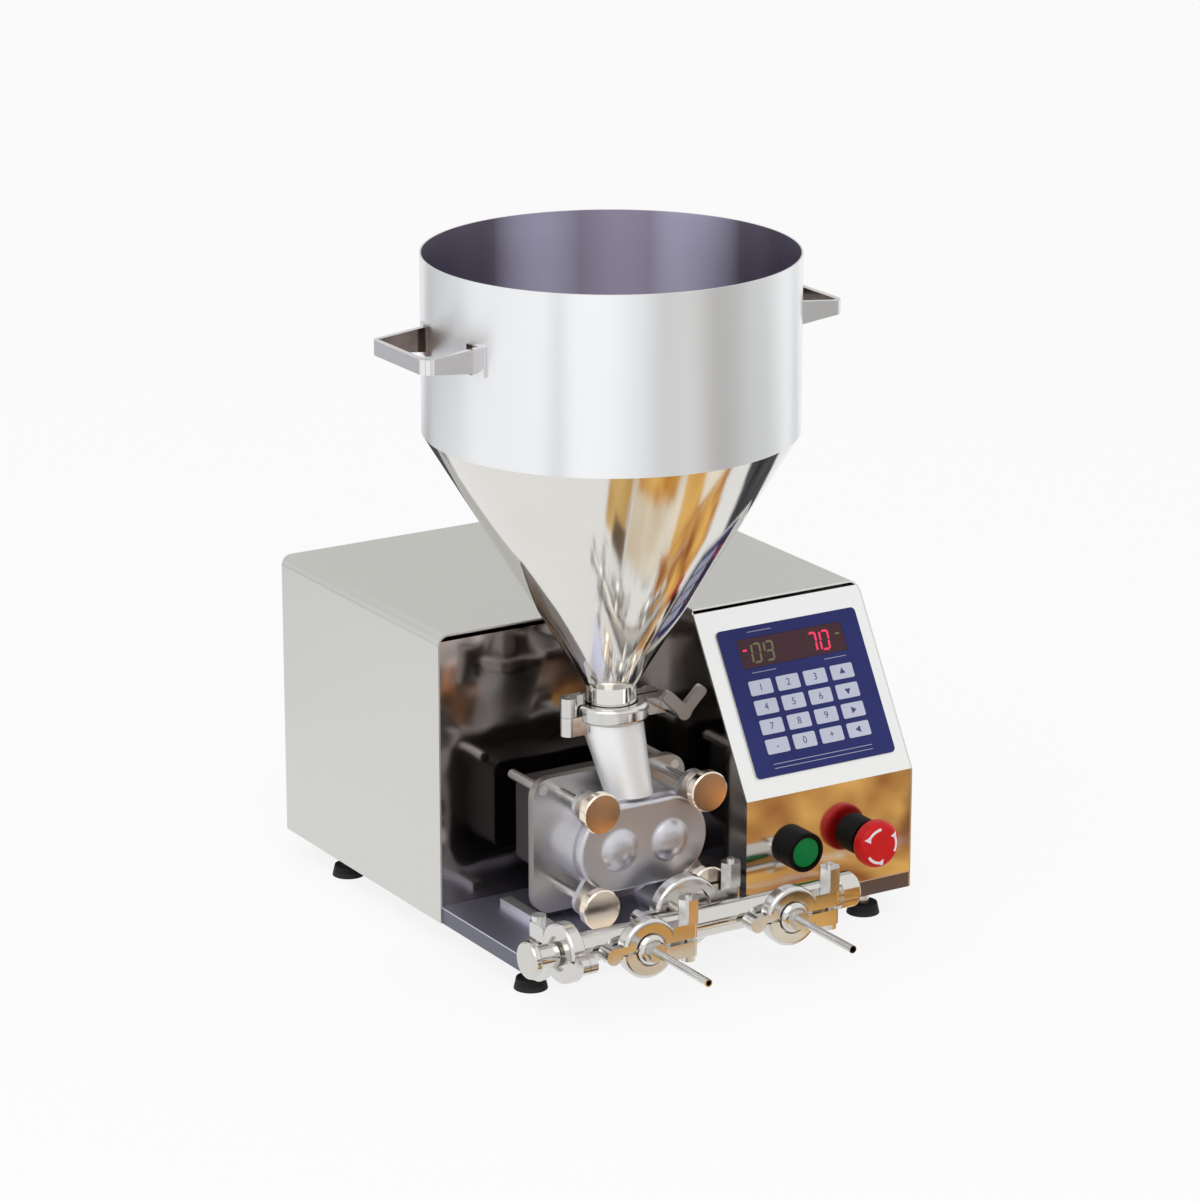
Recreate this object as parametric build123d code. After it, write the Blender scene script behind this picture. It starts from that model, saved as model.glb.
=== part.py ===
from build123d import *
import math
import os

# Cream filling machine, in millimetres. While it is drawn, x runs right from the cabinet's left wall,
# y runs back from the cabinet's front edge and z runs up from its bottom edge, so what stands ahead of
# the cabinet has a negative y. At the end everything moves so that the origin is on the table.

# Cabinet of folded stainless sheet
cabinet_width = 380
cabinet_depth = 270
cabinet_height = 248
sheet = 1.5
bend_radius = 9
tray_height = 14
tray_reach = 130
wall_inset = 2
top_slot = 4.5
return_flange = 14
vent_length = 70
vent_height = 4
vent_pitch = 11
vent_rows = 7
vent_left = 55
vent_base = 120

# Control pod, with its sloped face
pod_width = 165
pod_top_reach = 45
face_foot_height = 105
face_thickness = 2

# Feet and screws
foot_radius = 14
foot_taper = 2
foot_base = 9
foot_height = 20
foot_neck_radius = 5
foot_stud_radius = 3
foot_left_inset = 17
foot_right_inset = 38
foot_front_inset = 14
rear_foot_y = 190
screw_radius = 2
screw_head_radius = 3.8
screw_head_height = 2.4
screw_length = 9
screw_edge = 7
screw_heights = (40, 130)

# Membrane keypad and display on the sloped face, measured from the face's lower left corner
overlay_left = 15
overlay_bottom = 16.5
overlay_width = 138
overlay_length = 127
overlay_thickness = 0.6
overlay_corner = 4
circuit_thickness = 0.8
key_columns = 4
key_rows = 4
key_width = 22
key_length = 12.5
key_rise = 0.5
key_corner = 1.5
key_pitch_across = 27
key_pitch_up = 16.8
first_key_across = 27.5
first_key_up = 24.5
dome_radius = 4
dome_thickness = 0.5
window_width = 104
window_length = 25
window_left = 16.5
window_bottom = 92
window_rise = 1.2
display_board_width = 122
display_board_length = 116
display_board_depth = 12.4
digit_margin = 2
board_thickness = 1.6
spacer_radius = 3

# Start button and emergency stop on the lower front of the pod
button_height = 56
start_across = 50
stop_across = 112
panel_hole_radius = 11.2
barrel_radius = 11
barrel_length = 14
collar_edge = 1
start_collar_radius = 17
start_collar_length = 14
start_radius = 13
start_length = 6.5
start_web = 1.8
start_stem_radius = 8
start_travel = 4
start_recess = 1
start_edge = 1.2
stop_collar_radius = 16
stop_collar_length = 12
stem_radius = 8
stop_travel = 5
mushroom_radius = 20
mushroom_thickness = 14
mushroom_gap = 7
mushroom_socket = 6
mushroom_front_round = 6
mushroom_back_round = 3
switch_width = 28
switch_height = 36
switch_depth = 40

# Lobe pump: shafts, rotors and casing
pump_to_pod = 95
pump_z = 85
shaft_spacing = 48
shaft_radius = 6
thread_radius = 5
lobes = 3
points_per_lobe_side = 8
rotor_clearance = 0.25
chamber_clearance = 0.3
chamber_depth = 30
casing_wall = 6
plate_front = -70
plate_thickness = 8
plate_width = 145
plate_bottom = 20
plate_top = 136
plate_corner = 16
body_back_wall = 14
seal_radius = 12
seal_length = 9
plate_hole_radius = 9
cover_thickness = 10
cover_rebate = 2
cover_edge_round = 3
dome_base_radius = 17
dome_height = 7
dome_wall = 5.5
dome_blend = 5
nut_room_radius = 10.5
rotor_nut_radius = 9
rotor_nut_length = 11
thread_length = 8
cover_seal_gap = 1.2
cover_seal_width = 2.2
cover_seal_depth = 2.8
inlet_bore_radius = 11.5
outlet_bore_radius = 10
outlet_neck_radius = 14
outlet_shift = 20

# Studs, knobs, pegs and rails of the pump
stud_across = 102
stud_up = 82
stud_radius = 4
ear_radius = 12
ear_thickness = 5
knob_radius = 17
knob_length = 23
knob_neck_radius = 9
knob_neck_length = 15
knob_edge = 1
knob_thread_depth = 12
peg_radius = 4
peg_inset = 9.5
peg_length = 42
rail_width = 10
rail_front = -103
rail_back = -20

# Gear case and drive
case_wall_front = 14
case_wall_back = 4
bearing_radius = 14
bearing_width = 8
gear_teeth = 24
gear_width = 14
gear_room = 16
gear_backlash = 0.35
pressure_angle = math.radians(20)
gear_tip_gap = 1
root_depth = 1.25
flank_points = 4
case_half_height = 37
case_wall = 6
case_corner = 8
case_bearing_web = 4
case_hole_gap = 2
gearbox_size = 80
gearbox_length = 60
gearbox_corner = 6
gearbox_bore_depth = 40
motor_radius = 38
motor_length = 120
motor_edge = 4
shaft_port_radius = 18

# Hopper and its inlet tube
hopper_y = -80
hopper_shift = -5
hopper_radius = 151
hopper_wall = 1.5
hopper_top = 569
band_height = 144
neck_rise = 21.9
hopper_neck_radius = 21
inlet_foot_radius = 20
inlet_wall = 2.5
inlet_groove = 1
inlet_spigot = 7
handle_height = 508
handle_reach = 43
handle_half_width = 43
handle_bar = 12
handle_root = 21
handle_thickness = 5
handle_bend = 9
pad_thickness = 2.5
pad_width = 18
pad_height = 24

# Sanitary clamps: a large one at hopper and outlet, a small one on the manifold
clamp_height = 190
flange_thickness = 3
gasket_thickness = 1.6
large_ferrule = 26
large_ring = 31
large_lip = 22.5
small_ferrule = 20
small_ring = 25
small_lip = 14.2
ring_width = 14
ring_edge = 3.5
ring_split = 3
ear_reach = 20
ear_round = 4
bolt_reach = 14
ear_depth = 14
ear_root = 4
bolt_radius = 3
bolt_head_radius = 6
bolt_head_height = 5
bolt_tail = 37
hinge_reach = 9
hopper_hinge = 32
hinge_radius = 7
hinge_root = 6
hinge_pin_radius = 2
nut_radius = 9
nut_height = 20
wing_hub_radius = 6.5
wing_hub_length = 27
wing_length = 26
wing_height = 10
wing_thickness = 5
wing_turns = (-45, -135)

# Manifold with two needles
manifold_y = -180
manifold_z = 33
manifold_radius = 12.7
manifold_wall = 1.6
branch_radius = 12
outlet_face = -152
nozzle_face = -204
nozzle_spacing = 136
manifold_left_reach = 130
manifold_right_reach = 146
end_cap_radius = 15
end_cap_length = 18
end_edge = 3
plug_neck_radius = 10
plug_neck_length = 24
plug_knob_radius = 15.5
plug_knob_length = 8
nozzle_hub_radius = 13
nozzle_hub_length = 8
nozzle_hub_round = 5.5
needle_radius = 3.25
needle_bore = 2.2
needle_length = 79
needle_hex_radius = 8
needle_hex_length = 6
needle_tip_slant = 30

# Electronics in the cabinet
controller_inset = 95
controller_y = 130
controller_width = 120
controller_length = 90
controller_lift = 8
controller_margin = 15
transformer_size = (40, 35, 30)
heat_sink_size = (30, 8, 25)
capacitor_radius = 6
capacitor_height = 22
capacitor_pitch = 16
capacitor_count = 3
inlet_inset = 80
inlet_z = 55
inlet_width = 27.4
inlet_height = 20.4
inlet_depth = 25
inlet_flange = 4
inlet_flange_thickness = 3
inlet_recess_wall = 2.5
inlet_recess_depth = 17
inlet_pins = ((-7, -2), (0, 2), (7, -2))
pin_half_width = 1
pin_half_height = 2
pin_length = 10

# Clearances between pieces
running_fit = 0.05
slide_fit = 0.3
seat_fit = 0.03
loose_fit = 0.2

parts = {}


def block(x_limits, y_limits, z_limits):
    """Box between two limits on each axis."""
    limits = (x_limits, y_limits, z_limits)
    middle = [(low + high) / 2 for low, high in limits]
    size = [high - low for low, high in limits]
    return Pos(*middle) * Box(*size)


def rod_x(left, right, y, z, radius):
    """Round bar along x."""
    return Pos((left + right) / 2, y, z) * Rot(0, 90, 0) * Cylinder(radius, right - left)


def rod_y(x, front, back, z, radius):
    """Round bar along y."""
    return Pos(x, (front + back) / 2, z) * Rot(90, 0, 0) * Cylinder(radius, back - front)


def rod_z(x, y, bottom, top, radius):
    """Round bar along z."""
    return Pos(x, y, (bottom + top) / 2) * Cylinder(radius, top - bottom)


def facing_front(x, y, z):
    """Plane whose normal looks out of the machine's front, with its own y upwards."""
    return Plane((x, y, z), x_dir=(1, 0, 0), z_dir=(0, -1, 0))


def group(pieces):
    """Separate solids kept together as one node."""
    return Compound([solid for piece in pieces for solid in piece.solids()])


# Cabinet wrap: the top and both sides, one sheet bent over two corners, cut to the pod's slope
def wrap_outline(inset, radius):
    """Front view of the wrap, drawn in by an inset, with its two top corners rounded."""
    width = cabinet_width - 2 * inset
    height = cabinet_height - inset
    outline = Pos(cabinet_width / 2, height / 2) * Rectangle(width, height)
    return fillet(outline.vertices().group_by(Axis.Y)[-1], radius)


def through_cabinet(outline):
    """A front view extruded from the back of the cabinet to the front of the pod."""
    return extrude(facing_front(0, cabinet_depth, 0) * outline, cabinet_depth + tray_reach)


def pod_prism(left, right):
    """The side view of the pod and cabinet, extruded across the machine."""
    side = Polyline(
        (cabinet_depth, 0),
        (cabinet_depth, cabinet_height),
        (-pod_top_reach, cabinet_height),
        (-tray_reach, face_foot_height),
        (-tray_reach, 0),
        close=True,
    )
    return extrude(Plane((left, 0, 0), x_dir=(0, 1, 0), z_dir=(1, 0, 0)) * make_face(side), right - left)


pod_left = cabinet_width - pod_width
inner_bend = bend_radius - sheet
inside = through_cabinet(wrap_outline(sheet, inner_bend))
skin = through_cabinet(wrap_outline(0, bend_radius)) - inside
over_bay = block((0, pod_left), (0, cabinet_depth), (0, cabinet_height))
flange_back = cabinet_depth - sheet
flange_front = flange_back - sheet
flange_window = block(
    (sheet + return_flange, cabinet_width - sheet - return_flange),
    (flange_front, flange_back),
    (0, cabinet_height - sheet - return_flange),
)
back_flange = inside & block((0, cabinet_width), (flange_front, flange_back), (tray_height, cabinet_height))
cabinet_wrap = (skin & (over_bay + pod_prism(pod_left, cabinet_width))) + (back_flange - flange_window)

screw_rise = cabinet_height - sheet - screw_edge
screw_sides = (sheet + screw_edge, cabinet_width - sheet - screw_edge)
screw_spots = [(x, z) for x in screw_sides for z in screw_heights]
screw_spots += [(x, screw_rise) for x in (cabinet_width / 4, cabinet_width / 2, cabinet_width * 3 / 4)]
screw_holes = [
    rod_y(x, flange_front, cabinet_depth, z, screw_radius + running_fit) for x, z in screw_spots
]
parts["cabinet_wrap"] = cabinet_wrap - screw_holes

# Back panel: a flat sheet on the wrap's return flange, with cooling slots and the power inlet's cut-out
back_panel = inside & block((0, cabinet_width), (flange_back, cabinet_depth), (tray_height, cabinet_height))
vents = [
    block(
        (vent_left, vent_left + vent_length),
        (flange_back, cabinet_depth),
        (vent_base + row * vent_pitch, vent_base + row * vent_pitch + vent_height),
    )
    for row in range(vent_rows)
]
inlet_x = cabinet_width - inlet_inset
inlet_hole = block(
    (inlet_x - inlet_width / 2 - loose_fit, inlet_x + inlet_width / 2 + loose_fit),
    (flange_back, cabinet_depth),
    (inlet_z - inlet_height / 2 - loose_fit, inlet_z + inlet_height / 2 + loose_fit),
)
parts["back_panel"] = back_panel - vents - inlet_hole - screw_holes


def panel_screw(x, z):
    """Pan-head screw through the back panel into the return flange."""
    head = rod_y(x, cabinet_depth, cabinet_depth + screw_head_height, z, screw_head_radius)
    shank = rod_y(x, cabinet_depth - screw_length, cabinet_depth, z, screw_radius)
    slot = block(
        (x - screw_head_radius, x + screw_head_radius),
        (cabinet_depth + screw_head_height / 2, cabinet_depth + screw_head_height),
        (z - screw_radius / 4, z + screw_radius / 4),
    )
    return head + shank - slot


parts["panel_screws"] = group([panel_screw(x, z) for x, z in screw_spots])

# Base tray: a pan with its edges folded down, standing on four rubber feet
tray = block((sheet, cabinet_width - sheet), (-tray_reach, cabinet_depth), (0, tray_height))
tray -= block(
    (2 * sheet, cabinet_width - 2 * sheet),
    (sheet - tray_reach, cabinet_depth - sheet),
    (0, tray_height - sheet),
)
foot_sides = (foot_left_inset, cabinet_width - foot_right_inset)
foot_spots = [(x, y) for x in foot_sides for y in (foot_front_inset - tray_reach, rear_foot_y)]
foot_holes = [rod_z(x, y, 0, tray_height, foot_stud_radius + running_fit) for x, y in foot_spots]
parts["base_tray"] = tray - foot_holes


def rubber_foot(x, y):
    """Levelling foot: a rubber base moulded round a stud that ends in the tray."""
    under_tray = tray_height - sheet
    base = Pos(x, y, foot_base / 2 - foot_height) * Cone(foot_radius, foot_radius - foot_taper, foot_base)
    neck = rod_z(x, y, foot_base - foot_height, under_tray, foot_neck_radius)
    return base + neck + rod_z(x, y, under_tray, tray_height, foot_stud_radius)


parts["rubber_feet"] = group([rubber_foot(x, y) for x, y in foot_spots])

# Bay wall: the polished sheet behind the pump, with a slot left under the cabinet's top
bay_wall = inside & block(
    (0, pod_left + sheet), (wall_inset, wall_inset + sheet), (tray_height, cabinet_height - sheet - top_slot)
)
pump_x = pod_left - pump_to_pod
drive_x = pump_x + shaft_spacing / 2
driven_x = pump_x - shaft_spacing / 2
shaft_port = rod_y(drive_x, wall_inset, wall_inset + sheet, pump_z, shaft_port_radius)
parts["bay_wall"] = bay_wall - shaft_port

# Sloped control face, and a plane on its outer side with its origin in the lower left corner
face_rise = cabinet_height - face_foot_height
face_run = tray_reach - pod_top_reach
face_length = math.hypot(face_rise, face_run)
face_plane = Plane(
    (pod_left, -tray_reach, face_foot_height),
    x_dir=(1, 0, 0),
    z_dir=(0, -face_rise / face_length, face_run / face_length),
)


def face_block(across, up, out):
    """Box on the sloped face: limits across it, up it and out of it."""
    return face_plane * block(across, up, out)


face_slab = face_block((0, pod_width), (-face_thickness, face_length), (-face_thickness, 0))
face_plate = face_block((0, pod_width), (-face_thickness, face_length - top_slot), (-face_thickness, 0))
above_foot = block((0, cabinet_width), (-tray_reach, cabinet_depth), (face_foot_height, cabinet_height))
window_across = (overlay_left + window_left, overlay_left + window_left + window_width)
window_up = (overlay_bottom + window_bottom, overlay_bottom + window_bottom + window_length)
window_hole = face_block(window_across, window_up, (-face_thickness, circuit_thickness + overlay_thickness))
parts["control_face"] = (face_plate & inside & above_foot) - window_hole

# Pod shell: the left cheek and the lower front, one polished sheet bent once
pod_front = -tray_reach
pod_skin = pod_prism(pod_left, pod_left + sheet) & inside
cheek = pod_skin & block((0, cabinet_width), (pod_front, wall_inset), (tray_height, cabinet_height))
pod_front_inside = pod_front + sheet
start_x = pod_left + start_across
stop_x = pod_left + stop_across
lower_front = block(
    (pod_left, cabinet_width - sheet), (pod_front, pod_front_inside), (tray_height, face_foot_height)
)
button_holes = [
    rod_y(x, pod_front, pod_front_inside, button_height, panel_hole_radius)
    for x in (start_x, stop_x)
]
parts["pod_shell"] = (cheek - (face_slab & above_foot)) + lower_front - button_holes


# Membrane keypad: a printed overlay with raised keys over a circuit sheet that holds the snap domes
def key_centres():
    """Middle of each key, across and up the sloped face."""
    for row in range(key_rows):
        for column in range(key_columns):
            across = overlay_left + first_key_across + column * key_pitch_across
            yield across, overlay_bottom + first_key_up + row * key_pitch_up


def keypad_sheet(bottom, top):
    """Sheet of the keypad's outline, with the display window cut out."""
    middle = (overlay_left + overlay_width / 2, overlay_bottom + overlay_length / 2)
    outline = Pos(*middle, bottom) * RectangleRounded(overlay_width, overlay_length, overlay_corner)
    return extrude(face_plane * outline, top - bottom) - window_hole


overlay_top = circuit_thickness + overlay_thickness
key_outline = RectangleRounded(key_width, key_length, key_corner)
keys = [
    extrude(face_plane * Pos(across, up, overlay_top) * key_outline, key_rise)
    for across, up in key_centres()
]
parts["keypad_overlay"] = keypad_sheet(circuit_thickness, overlay_top) + keys
dome_pocket = Cylinder(dome_radius + loose_fit, circuit_thickness)
dome_pockets = [
    face_plane * Pos(across, up, circuit_thickness / 2) * dome_pocket for across, up in key_centres()
]
parts["keypad_circuit"] = keypad_sheet(0, circuit_thickness) - dome_pockets
parts["snap_domes"] = group(
    [
        face_plane * Pos(across, up, dome_thickness / 2) * Cylinder(dome_radius, dome_thickness)
        for across, up in key_centres()
    ]
)

# Display window and, behind it, the display board with its digit block and spacers
window_lens = face_block(
    (window_across[0] + loose_fit, window_across[1] - loose_fit),
    (window_up[0] + loose_fit, window_up[1] - loose_fit),
    (-face_thickness, window_rise),
)
parts["display_window"] = window_lens
board_left = (pod_width - display_board_width) / 2
board_bottom = (face_length - display_board_length) / 2
board_across = (board_left, board_left + display_board_width)
board_up = (board_bottom, board_bottom + display_board_length)
board_front = -display_board_depth
display_board = face_block(board_across, board_up, (board_front - board_thickness, board_front))
display_board += face_block(
    (window_across[0] + digit_margin, window_across[1] - digit_margin),
    (window_up[0] + digit_margin, window_up[1] - digit_margin),
    (board_front, -face_thickness - slide_fit),
)
spacer_height = display_board_depth - face_thickness
for across in (board_across[0] + 2 * spacer_radius, board_across[1] - 2 * spacer_radius):
    for up in (board_up[0] + 2 * spacer_radius, board_up[1] - 2 * spacer_radius):
        spacer = Cylinder(spacer_radius, spacer_height)
        display_board += face_plane * Pos(across, up, board_front + spacer_height / 2) * spacer
parts["display_board"] = display_board


# Start button: a green plunger in a black guard collar, with a switch block behind the panel
def collar(x, length, radius, bore):
    """Button collar ahead of the panel, with its barrel through the panel."""
    ring = rod_y(x, pod_front - length, pod_front, button_height, radius)
    ring = chamfer(ring.edges().group_by(Axis.Y)[0], collar_edge)
    barrel = rod_y(x, pod_front, pod_front + barrel_length, button_height, barrel_radius)
    hole = rod_y(x, pod_front - length, pod_front + barrel_length, button_height, bore)
    return ring + barrel - hole


def switch_block(x):
    """Contact block screwed to a button's barrel."""
    front = pod_front + barrel_length
    return block(
        (x - switch_width / 2, x + switch_width / 2),
        (front, front + switch_depth),
        (button_height - switch_height / 2, button_height + switch_height / 2),
    )


barrel_end = pod_front + barrel_length
collar_front = pod_front - start_collar_length
start_collar = collar(start_x, start_collar_length, start_collar_radius, start_stem_radius + slide_fit)
start_room = rod_y(start_x, collar_front, pod_front - start_web, button_height, start_radius + slide_fit)
parts["start_collar"] = start_collar - start_room
start_front = collar_front + start_recess
start_back = barrel_end - start_travel - slide_fit
start_head = rod_y(start_x, start_front, start_front + start_length, button_height, start_radius)
start_head = fillet(start_head.edges().group_by(Axis.Y)[0], start_edge)
parts["start_button"] = start_head + rod_y(start_x, start_front, start_back, button_height, start_stem_radius)
parts["switch_blocks"] = group([switch_block(x) for x in (start_x, stop_x)])

# Emergency stop: a stem that slides in the collar, and a mushroom head that twists on the stem
parts["stop_collar"] = collar(stop_x, stop_collar_length, stop_collar_radius, stem_radius + slide_fit)
mushroom_back = pod_front - stop_collar_length - mushroom_gap
stem_front = mushroom_back - mushroom_socket
stem_back = barrel_end - stop_travel - slide_fit
parts["stop_stem"] = rod_y(stop_x, stem_front, stem_back, button_height, stem_radius)
mushroom = rod_y(stop_x, mushroom_back - mushroom_thickness, mushroom_back, button_height, mushroom_radius)
mushroom = fillet(mushroom.edges().group_by(Axis.Y)[0], mushroom_front_round)
mushroom = fillet(mushroom.edges().group_by(Axis.Y)[-1], mushroom_back_round)
socket = rod_y(stop_x, stem_front - slide_fit, mushroom_back, button_height, stem_radius + running_fit)
parts["stop_head"] = mushroom - socket

# Pump stand: a thick plate on two foot rails, with two pegs behind its upper corners
plate_left = pump_x - plate_width / 2
plate_right = plate_left + plate_width
plate_back = plate_front + plate_thickness
plate_middle = (plate_bottom + plate_top) / 2
plate_outline = RectangleRounded(plate_width, plate_top - plate_bottom, plate_corner)
plate = extrude(facing_front(pump_x, plate_back, plate_middle) * plate_outline, plate_thickness)
stud_spots = [
    (pump_x + side * stud_across / 2, pump_z + level * stud_up / 2) for level in (1, -1) for side in (-1, 1)
]
peg_spots = [(x, plate_top - peg_inset) for x in (plate_left + peg_inset, plate_right - peg_inset)]
plate -= [rod_y(x, plate_front, plate_back, pump_z, plate_hole_radius) for x in (drive_x, driven_x)]
plate -= [rod_y(x, plate_front, plate_back, z, stud_radius + seat_fit) for x, z in stud_spots]
plate -= [rod_y(x, plate_front, plate_back, z, peg_radius + seat_fit) for x, z in peg_spots]
parts["pump_plate"] = plate
parts["plate_pegs"] = group(
    [rod_y(x, plate_front, plate_back + peg_length, z, peg_radius) for x, z in peg_spots]
)
rail_lefts = (plate_left - rail_width / 4, plate_right - rail_width * 3 / 4)
parts["foot_rails"] = group(
    [block((x, x + rail_width), (rail_front, rail_back), (tray_height, plate_bottom)) for x in rail_lefts]
)


# Pump body: an obround casing around both rotors, with the inlet on top and the outlet turned forward
def obround(front, back, radius):
    """Obround prism round both shafts, between two depths."""
    outline = facing_front(pump_x, back, pump_z) * SlotCenterToCenter(shaft_spacing, 2 * radius)
    return extrude(outline, back - front)


pitch_radius = shaft_spacing / 2
rotor_radius = pitch_radius * (1 + 1 / lobes)
chamber_radius = rotor_radius + chamber_clearance
casing_radius = chamber_radius + casing_wall
chamber_back = plate_front - body_back_wall
body_front = chamber_back - chamber_depth
chamber_middle = (body_front + chamber_back) / 2
casing_top = pump_z + casing_radius
outlet_x = pump_x + outlet_shift
stack = gasket_thickness / 2
outlet_flange_front = outlet_face + stack
outlet_flange_back = outlet_flange_front + flange_thickness

body = obround(body_front, plate_front, casing_radius)
body += rod_z(outlet_x, chamber_middle, manifold_z, pump_z - chamber_radius, outlet_neck_radius)
body += Pos(outlet_x, chamber_middle, manifold_z) * Sphere(outlet_neck_radius)
body += rod_y(outlet_x, outlet_flange_front, chamber_middle, manifold_z, outlet_neck_radius)
body += rod_y(outlet_x, outlet_flange_front, outlet_flange_back, manifold_z, large_ferrule)
body -= obround(body_front, chamber_back, chamber_radius)
body -= rod_z(pump_x, chamber_middle, pump_z, casing_top, inlet_bore_radius)
body -= rod_z(outlet_x, chamber_middle, manifold_z, pump_z, outlet_bore_radius)
body -= Pos(outlet_x, chamber_middle, manifold_z) * Sphere(outlet_bore_radius)
body -= rod_y(outlet_x, outlet_flange_front, chamber_middle, manifold_z, outlet_bore_radius)
seal_front = plate_front - seal_length - seat_fit
for x in (drive_x, driven_x):
    body -= rod_y(x, chamber_back, plate_front, pump_z, shaft_radius + slide_fit)
    body -= rod_y(x, seal_front, plate_front, pump_z, seal_radius + seat_fit)
groove_inner = chamber_radius + cover_seal_gap
groove_outer = groove_inner + cover_seal_width
groove_back = body_front + cover_seal_depth + loose_fit
body -= obround(body_front, groove_back, groove_outer) - obround(body_front, groove_back, groove_inner)
parts["pump_body"] = body
seal_ring = obround(body_front, groove_back - loose_fit, groove_outer - running_fit)
parts["cover_seal"] = seal_ring - obround(body_front, groove_back, groove_inner + running_fit)
parts["shaft_seals"] = group(
    [
        rod_y(x, plate_front - seal_length, plate_front, pump_z, seal_radius)
        - rod_y(x, plate_front - seal_length, plate_front, pump_z, shaft_radius + running_fit)
        for x in (drive_x, driven_x)
    ]
)

# Front cover: an obround plate with a dome over each rotor nut and an ear for each stud
cover_front = body_front - cover_thickness
cover = obround(cover_front, body_front, casing_radius - cover_rebate)
cover = fillet(cover.edges().group_by(Axis.Y)[0], cover_edge_round)
ear_front = body_front - ear_thickness
for x, z in stud_spots:
    shaft_x = drive_x if x > pump_x else driven_x
    ear = make_hull(
        (Pos(x, z) * Circle(ear_radius)).edges() + (Pos(shaft_x, pump_z) * Circle(ear_radius)).edges()
    )
    cover += extrude(facing_front(0, body_front, 0) * ear, ear_thickness)
dome_curve = (dome_base_radius**2 + dome_height**2) / (2 * dome_height)
dome_centre = cover_front - dome_height + dome_curve
for x in (drive_x, driven_x):
    dome = rod_y(x, cover_front - dome_height, cover_front, pump_z, dome_base_radius)
    cover += dome & Pos(x, dome_centre, pump_z) * Sphere(dome_curve)
dome_feet = cover.edges().filter_by(GeomType.CIRCLE)
dome_feet = dome_feet.filter_by(lambda edge: abs(edge.radius - dome_base_radius) < seat_fit)
cover = fillet(dome_feet, dome_blend)
nut_room_front = cover_front - dome_height + dome_wall
cover -= [rod_y(x, nut_room_front, body_front, pump_z, nut_room_radius) for x in (drive_x, driven_x)]
cover -= [rod_y(x, cover_front, body_front, z, stud_radius + loose_fit) for x, z in stud_spots]
parts["front_cover"] = cover

# Studs from the plate to the knobs, and the four round hand knobs that hold the cover
stud_front = ear_front - slide_fit - knob_thread_depth
parts["cover_studs"] = group([rod_y(x, stud_front, plate_back, z, stud_radius) for x, z in stud_spots])
knob_back = ear_front - slide_fit
knob_names = ("upper_left", "upper_right", "lower_left", "lower_right")
for name, (x, z) in zip(knob_names, stud_spots):
    knob = rod_y(x, knob_back - knob_length, knob_back - knob_neck_length, z, knob_radius)
    knob = chamfer(knob.edges().group_by(Axis.Y)[0], knob_edge)
    knob += rod_y(x, knob_back - knob_neck_length, knob_back, z, knob_neck_radius)
    knob -= rod_y(x, stud_front - slide_fit, knob_back, z, stud_radius + running_fit)
    parts["knob_" + name] = knob


# Three-lobe rotors: each outline rolls on the other's pitch circle, drawn in by the rotor clearance
def rotor_point(turn):
    """Outline point where the rolling circle touches the pitch circle at this angle."""
    roll = pitch_radius / (2 * lobes)
    side = 1 if math.sin(lobes * turn) >= 0 else -1
    spin = (2 * lobes * side + 1) * turn
    outward = (lobes * side + 1) * turn - math.pi / 2
    x = (pitch_radius + side * roll) * math.cos(turn) - side * roll * math.cos(spin)
    y = (pitch_radius + side * roll) * math.sin(turn) - side * roll * math.sin(spin)
    return x - rotor_clearance * math.cos(outward), y - rotor_clearance * math.sin(outward)


rotor_steps = 2 * lobes * points_per_lobe_side
first_lobe = -math.pi / (2 * lobes)
rotor_face = make_face(
    Spline(*[rotor_point(math.tau * step / rotor_steps) for step in range(rotor_steps)], periodic=True)
)
rotor_back = chamber_back - slide_fit
rotor_front = body_front + slide_fit
thread_front = rotor_front - thread_length


def rotor(x):
    """Rotor on its shaft, with a lobe pointing right."""
    outline = facing_front(x, rotor_back, pump_z) * Rot(0, 0, math.degrees(first_lobe)) * rotor_face
    return extrude(outline, rotor_back - rotor_front) - rod_y(
        x, rotor_front, rotor_back, pump_z, shaft_radius + seat_fit
    )


def rotor_nut(x):
    """Round-ended nut that holds the rotor on its shaft."""
    nut = rod_y(x, rotor_front - rotor_nut_length, rotor_front, pump_z, rotor_nut_radius)
    nut = fillet(nut.edges().group_by(Axis.Y)[0], rotor_nut_radius / 3)
    return nut - rod_y(x, thread_front - slide_fit, rotor_front, pump_z, thread_radius + seat_fit)


def shaft(x, back):
    """Stepped shaft: threaded front end, then one diameter to the back."""
    return rod_y(x, thread_front, rotor_front, pump_z, thread_radius) + rod_y(
        x, rotor_front, back, pump_z, shaft_radius
    )


# Gear case behind the plate, holding both shafts in bearings and the timing gears in mesh
gears_front = plate_back + case_wall_front
gears_back = gears_front + gear_room
rear_bearing_front = gears_back + case_bearing_web
rear_bearing_back = rear_bearing_front + bearing_width
case_back = rear_bearing_back + case_wall_back
gearbox_front = wall_inset + sheet
gear_module = shaft_spacing / gear_teeth
gear_tip = pitch_radius + gear_module
case_half_width = pitch_radius + gear_tip + gear_tip_gap + case_wall
case_outline = RectangleRounded(2 * case_half_width, 2 * case_half_height, case_corner)
gear_case = extrude(facing_front(pump_x, case_back, pump_z) * case_outline, case_back - plate_back)
gear_case -= obround(gears_front, gears_back, gear_tip + gear_tip_gap)
for x in (drive_x, driven_x):
    gear_case -= rod_y(x, plate_back, plate_back + bearing_width, pump_z, bearing_radius + seat_fit)
    gear_case -= rod_y(x, rear_bearing_front, rear_bearing_back, pump_z, bearing_radius + seat_fit)
    gear_case -= rod_y(x, plate_back, rear_bearing_back, pump_z, shaft_radius + case_hole_gap)
gear_case -= rod_y(drive_x, rear_bearing_back, case_back, pump_z, shaft_radius + slide_fit)
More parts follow.
